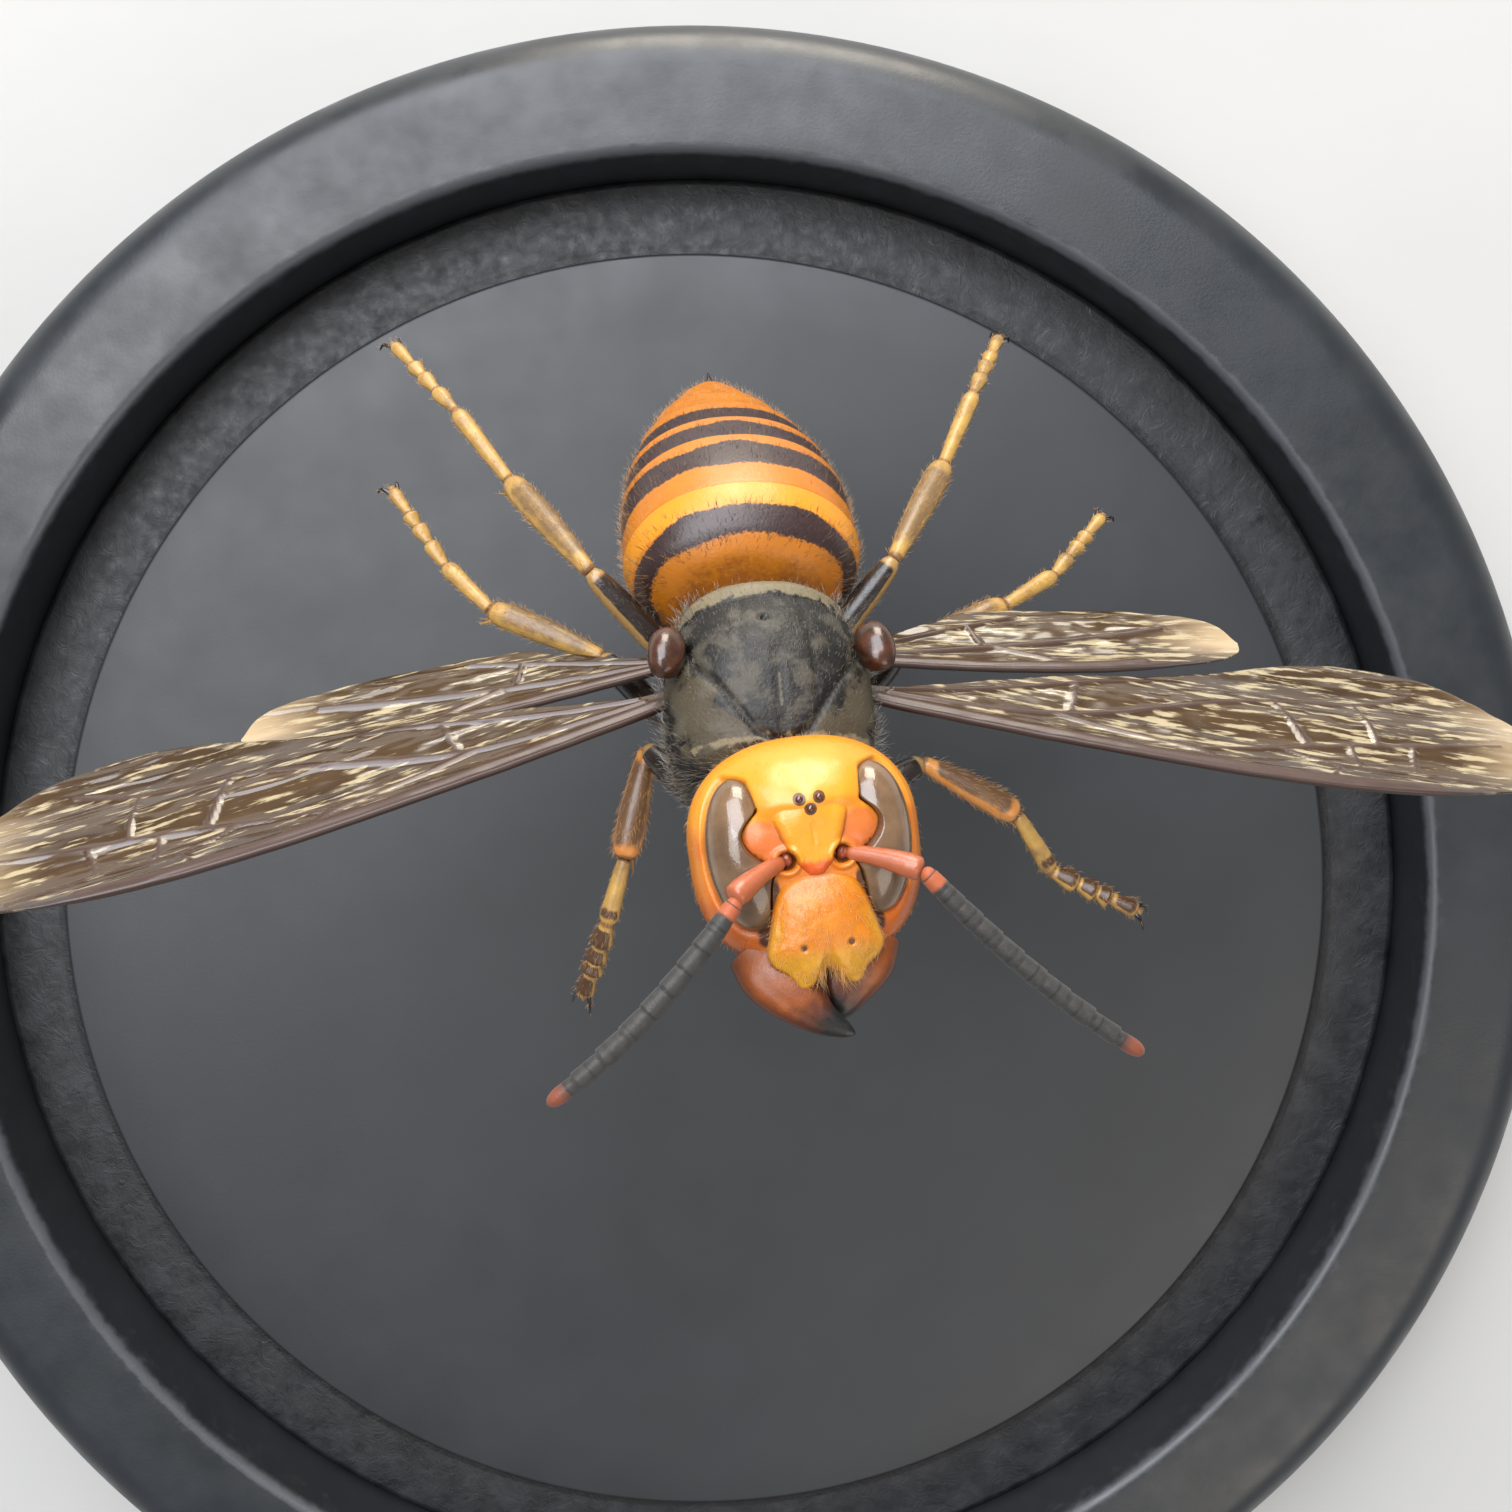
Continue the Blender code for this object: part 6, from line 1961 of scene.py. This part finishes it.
@dataclass
class Wings:
    """The four wings, spread."""

    fore_leading: Outline = (
        (-0.9, -0.1), (1.0, -0.35), (4.0, -0.6), (9.0, -1.05), (14.0, -1.35), (19.0, -1.5), (24.0, -1.35),
        (28.0, -0.75), (31.0, 0.35), (32.6, 1.7), (33.0, 3.1),
    )
    fore_trailing: Outline = (
        (-0.9, 0.9), (0.8, 1.2), (2.5, 1.9), (6.5, 3.3), (12.0, 5.1), (17.5, 6.9), (20.8, 7.9), (24.0, 8.3),
        (27.4, 7.9), (30.2, 6.7), (32.2, 4.9), (33.0, 3.1),
    )
    fore_veins: tuple[Outline, ...] = (
        ((0.0, 0.2), (5.0, -0.1), (11.0, -0.65), (16.6, -0.95), (21.4, -1.0), (26.5, -0.55)),
        ((0.4, 0.6), (4.5, 0.75), (8.5, 1.25), (13.0, 2.5), (19.4, 4.6), (23.6, 5.4), (26.6, 6.7)),
        ((8.5, 1.25), (12.0, 0.55), (15.0, -0.05), (16.6, -0.95)),
        ((15.0, -0.05), (19.4, 1.2), (22.9, 2.0), (26.0, 2.45), (30.3, 3.2)),
        ((19.4, 1.2), (22.2, 0.35), (25.8, 0.45), (29.6, 0.3)),
        ((21.4, -1.0), (22.2, 0.35)),
        ((22.9, 2.0), (23.1, 0.4)),
        ((26.0, 2.45), (25.8, 0.45)),
        ((20.9, 1.55), (19.4, 4.6)),
        ((24.3, 2.2), (23.6, 5.4)),
        ((0.6, 0.95), (6.0, 2.45), (13.4, 4.9)),
        ((9.3, 1.5), (9.6, 3.6)),
    )
    hind_leading: Outline = (
        (-0.8, 0.0), (1.0, -0.15), (4.0, -0.4), (8.0, -0.7), (12.0, -0.8), (16.0, -0.5), (19.0, 0.2),
        (20.6, 1.0), (20.9, 1.9),
    )
    hind_trailing: Outline = (
        (-0.8, 0.9), (1.4, 1.6), (3.4, 2.6), (5.2, 3.4), (6.4, 4.1), (9.0, 4.5), (11.6, 4.4), (12.6, 4.6),
        (15.0, 4.5), (17.8, 3.9), (20.0, 3.0), (20.9, 1.9),
    )
    hind_veins: tuple[Outline, ...] = (
        ((0.0, 0.2), (4.0, 0.05), (8.0, -0.2), (12.0, -0.25), (15.5, 0.2)),
        ((0.3, 0.5), (4.0, 0.9), (8.0, 1.5), (12.5, 2.1), (17.0, 2.8)),
        ((8.0, 1.5), (10.0, 0.7), (12.0, -0.25)),
        ((0.5, 0.8), (4.5, 2.3), (9.5, 3.8)),
        ((7.4, 1.4), (6.8, 3.0)),
    )

    def build(self) -> None:
        """Builds each wing in its own pose."""
        fore = (self.fore_leading, self.fore_trailing, self.fore_veins, 33.0)
        hind = (self.hind_leading, self.hind_trailing, self.hind_veins, 21.0)
        # Each wing's hinge, its sweep, lift and droop in degrees, and how much of it carries painted glints
        wings = (
            Wing("forewing_right", Side.RIGHT, (-5.3, -0.4, 0.0), 14.0, -8.5, 12.0, 0.29, *fore),
            Wing("forewing_left", Side.LEFT, (5.3, -0.4, 0.0), 14.0, -1.6, 10.0, 0.36, *fore),
            Wing("hindwing_right", Side.RIGHT, (-4.4, 4.0, -2.2), 7.0, -8.5, 14.0, 0.34, *hind),
            Wing("hindwing_left", Side.LEFT, (4.4, 3.9, -1.9), 4.0, 0.0, 11.0, 0.38, *hind),
        )
        for wing in wings:
            wing.build()


# Each leg's headings and lifts: thigh, shin, first joint of the foot, rest of the foot
LEG_POSES = {
    (Pair.FORE, Side.RIGHT): ((56, 1), (-73, -36), (-65, -48), (-47, -68)),
    (Pair.FORE, Side.LEFT): ((28, 9), (-23, -20), (-50, -37), (-26, -11)),
    (Pair.MID, Side.RIGHT): ((60, -3), (31, 2), (54, 3), (59, 14)),
    (Pair.MID, Side.LEFT): ((50, 0), (22, 7), (34, 0), (48, 5)),
    (Pair.HIND, Side.RIGHT): ((36, 36), (63, -3), (58, 13), (60, 0)),
    (Pair.HIND, Side.LEFT): ((40, 36), (61, 0), (62, 14), (64, -6)),
}


@dataclass
class Hairs:
    """The hair coats: gold fringes and dark bristles on the abdomen, fuzz on the thorax, down on the rest."""

    bristle_bands: Outline = ((7.3, 9.3), (12.1, 13.7), (14.6, 16.2), (17.0, 18.5))

    gold: Finish = Finish(
        # Body hairs are hollow chitin bristles, gold where light passes through them
        "gold_hair", "C98A34", "A8681F", 0.4, mottle_mm=0.6, grain_mm=0.3, depth_mm=0.002, sheen=0.3,
        layers=(Layer("along", "E8C078", 0.7, 0.4, 0.0, cover=0.7),),
    )
    dark: Finish = Finish(
        # Bristles that grow from black plates keep their black pigment; their paler brown tips are a painted
        # glint
        "dark_hair", "1E1613", "3A281C", 0.35, mottle_mm=0.6, grain_mm=0.3, depth_mm=0.002, sheen=0.2,
        layers=(Layer("along", "5A3E28", 0.8, 0.3, 0.0, cover=0.6),),
    )
    fuzz: Finish = Finish(
        # The thorax's fuzz is fine, forked and dusty, a grey brown against the light
        "brown_fuzz", "4A3F2D", "6A5A42", 0.55, mottle_mm=0.6, grain_mm=0.3, depth_mm=0.002, sheen=0.5,
        layers=(Layer("along", "83714E", 0.75, 0.4, 0.0, cover=0.6),),
    )

    def dress_gaster(self, skin: Piece) -> None:
        """Grows the abdomen's gold down and the dark bristles.

        Args:
            skin: The placed abdomen.
        """

        def down(points: Array) -> Array:
            """More hairs at the sides and towards the tip."""
            side = np.abs(points[:, 0]) / 6
            return 0.03 + 0.6 * side**5 + 0.8 * step(points[:, 1], 17.0, 23.0)

        def bristly(points: Array) -> Array:
            """Only on and just ahead of the dark bands."""
            y = points[:, 1]
            return sum((y > start) & (y < end) for start, end in self.bristle_bands) + 0.001

        rear = (0.0, 1.0, -0.15)
        coats = (
            Coat("gaster_down", self.gold, "gaster_cuticle", 3200, 0.44, 0.011, 0.55, rear, down),
            Coat("gaster_bristles", self.dark, "gaster_cuticle", 2600, 0.42, 0.02, 0.72, rear, bristly),
        )
        for number, coat in enumerate(coats):
            coat.grow(skin, BODY_FRAME, SEED + number)

    def dress_thorax(self, skin: Piece) -> None:
        """Grows the fuzz: long on the flanks and behind, very short on the shield.

        Args:
            skin: The placed thorax.
        """

        def flanks(points: Array) -> Array:
            """Thickens the fuzz at the sides, the front and the rear.

            Args:
                points: Points of the skin.

            Returns:
                How thick it is at each.
            """
            x, y, z = np.abs(points[:, 0]), points[:, 1], points[:, 2]
            corner = step(y, 1.6, 3.4) * step(x, 2.6, 3.6)
            return 0.01 + step(z, 1.6, -0.4) + 1.5 * corner + step(y, -3.8, -4.7) + step(y, 4.1, 4.6)

        def back(points: Array) -> Array:
            """The shield and scutellum from above."""
            return step(points[:, 2], 1.5, 2.5)

        rear = (0.0, 1.0, -0.2)
        coats = (
            Coat("thorax_fuzz", self.fuzz, "thorax_cuticle", 6500, 0.7, 0.022, 0.5, rear, flanks),
            Coat("shield_down", self.fuzz, "thorax_cuticle", 2200, 0.22, 0.014, 0.85, rear, back),
        )
        for number, coat in enumerate(coats):
            coat.grow(skin, BODY_FRAME, SEED + 2 + number)

    def dress_head(self, skin: Piece, plate: Piece) -> None:
        """Grows the short gold down of the face, and the brush in the clypeus's notch.

        Args:
            skin: The placed skull.
            plate: The placed face plate.
        """

        def crown(points: Array) -> Array:
            """Thin on the face, thicker on the cheeks and behind."""
            return 0.15 + step(points[:, 1], -0.5, 1.5) + 0.5 * step(points[:, 2], -3.0, -4.5)

        def notch(points: Array) -> Array:
            """Between the two lobes."""
            near = np.hypot(points[:, 0], points[:, 2] + 5.4)
            return step(near, 0.8, 0.4) + 0.00001

        def plate_edge(points: Array) -> Array:
            """The face plate's front."""
            return step(points[:, 1], -2.2, -2.4)

        slot = "head_cuticle"
        coats = (
            (skin, Coat("face_down", self.gold, slot, 2200, 0.26, 0.013, 0.65, (0, 0.2, -1), crown)),
            (plate, Coat("notch_brush", self.gold, slot, 220, 0.75, 0.022, 0.75, (0, 0, -1), notch)),
            (plate, Coat("plate_down", self.gold, slot, 500, 0.3, 0.018, 0.6, (0, 0.1, -1), plate_edge)),
        )
        for number, (ground, coat) in enumerate(coats):
            coat.grow(ground, HEAD_FRAME, SEED + 4 + number)

    def dress_leg(self, leg: Leg, pieces: Sequence[Piece]) -> None:
        """Grows the hairs of one leg, which lie towards its foot.

        Args:
            leg: The leg.
            pieces: Its placed hip, thigh, shin and foot.
        """

        def everywhere(points: Array) -> Array:
            """The same at every point."""
            return np.ones(len(points))

        plans = ((1, 240, 0.36, self.fuzz), (2, 420, 0.34, self.gold), (3, 420, 0.26, self.gold))
        for number, count, length, finish in plans:
            lie, name = tuple(leg.heading(number - 1)), f"{pieces[number].name}_down"
            coat = Coat(name, finish, "leg_cuticle", count, length, 0.018, 0.68, lie, everywhere)
            coat.grow(pieces[number], BODY_FRAME, SEED + 10 + number)


@dataclass
class Studio:
    """A plain pale floor, soft light and the camera above the specimen, held almost straight down."""

    camera_place: Spot = (5.4997, 18.7662, 124.8498)
    lens: float = 38.83

    floor_paint: Finish = Finish(
        # The floor is matt emulsion on board, with a faint roller texture
        "studio_floor", "B4B3B0", "ACABA8", 0.8, mottle_mm=60.0, grain_mm=2.0, depth_mm=0.02,
    )

    def build_floor(self) -> None:
        """The floor under the base."""
        mesh = bmesh.new()
        bmesh.ops.create_grid(mesh, x_segments=4, y_segments=4, size=1.5)
        data = bpy.data.meshes.new("studio_floor")
        mesh.to_mesh(data)
        mesh.free()
        data.materials.append(self.floor_paint.build())
        floor = bpy.data.objects.new("studio_floor", data)
        bpy.context.scene.collection.objects.link(floor)

    def build_camera(self) -> None:
        """The camera at the view from above."""
        right = Vector((0.9999631, -0.0006613, -0.0085600))
        down = Vector((0.0, -0.9970295, 0.0770202))
        forward = Vector((-0.0085855, -0.0770174, -0.9969928))
        data = bpy.data.cameras.new("camera")
        data.lens = self.lens
        data.sensor_width = 36.0
        data.clip_start = 0.005
        camera = bpy.data.objects.new("camera", data)
        turn = Matrix((right, -down, -forward)).transposed().to_4x4()
        camera.matrix_world = Matrix.Translation(Vector(self.camera_place) * MM) @ turn
        bpy.context.scene.collection.objects.link(camera)
        bpy.context.scene.camera = camera

    def build_light(self) -> None:
        """A broad window of light behind, a weaker one in front and a pale room."""
        world = bpy.data.worlds.new("room")
        world.use_nodes = True
        background = world.node_tree.nodes["Background"]
        background.inputs["Color"].default_value = linear("DDE3EA")
        background.inputs["Strength"].default_value = 0.45
        bpy.context.scene.world = world
        bpy.context.scene.view_settings.view_transform = "Standard"
        panels = (
            ("window", (-0.10, 0.36, 0.50), 0.5, 5.6, "F4F7FF"),
            ("fill", (0.3, -0.35, 0.5), 0.4, 1.2, "FFF3E4"),
            ("above", (-0.25, 0.05, 0.6), 0.3, 1.4, "FFFFFF"),
            ("low_window", (0.03, 0.5, 0.14), 0.26, 2.4, "FFF6E6"),
        )
        for name, place, size, power, colour in panels:
            data = bpy.data.lights.new(name, "AREA")
            data.shape = "SQUARE"
            data.size = size
            data.energy = power
            data.color = linear(colour)[:3]
            light = bpy.data.objects.new(name, data)
            aim = (Vector((0.0, 0.01, 0.03)) - Vector(place)).to_track_quat("-Z", "Y").to_matrix().to_4x4()
            light.matrix_world = Matrix.Translation(Vector(place)) @ aim
            bpy.context.scene.collection.objects.link(light)


def main() -> None:
    """Builds the specimen, its stand and the studio."""
    logging.basicConfig(level=logging.INFO, format="%(name)s: %(message)s")
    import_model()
    studio = Studio()
    studio.build_camera()
    studio.build_light()
    studio.build_floor()
    stand = Stand()
    stand.build_rim()
    stand.build_plate()
    stand.build_pin()
    gaster, thorax, head, hairs = Gaster(), Thorax(), Head(), Hairs()
    hairs.dress_gaster(gaster.build_skin())
    gaster.build_sting()
    hairs.dress_thorax(thorax.build_skin())
    skin, plate = head.build_skin(), head.build_clypeus()
    hairs.dress_head(skin, plate)
    head.build_ocelli(skin)
    for side in Side:
        thorax.build_tegula(side)
        head.build_eye(side)
        head.build_mandible(side)
        antenna = Antenna(side)
        antenna.build_scape()
        antenna.build_whip()
    for (pair, side), pose in LEG_POSES.items():
        leg = Leg(pair, side, pose)
        hairs.dress_leg(leg, leg.build())
    Wings().build()


if __name__ == "__main__":
    main()
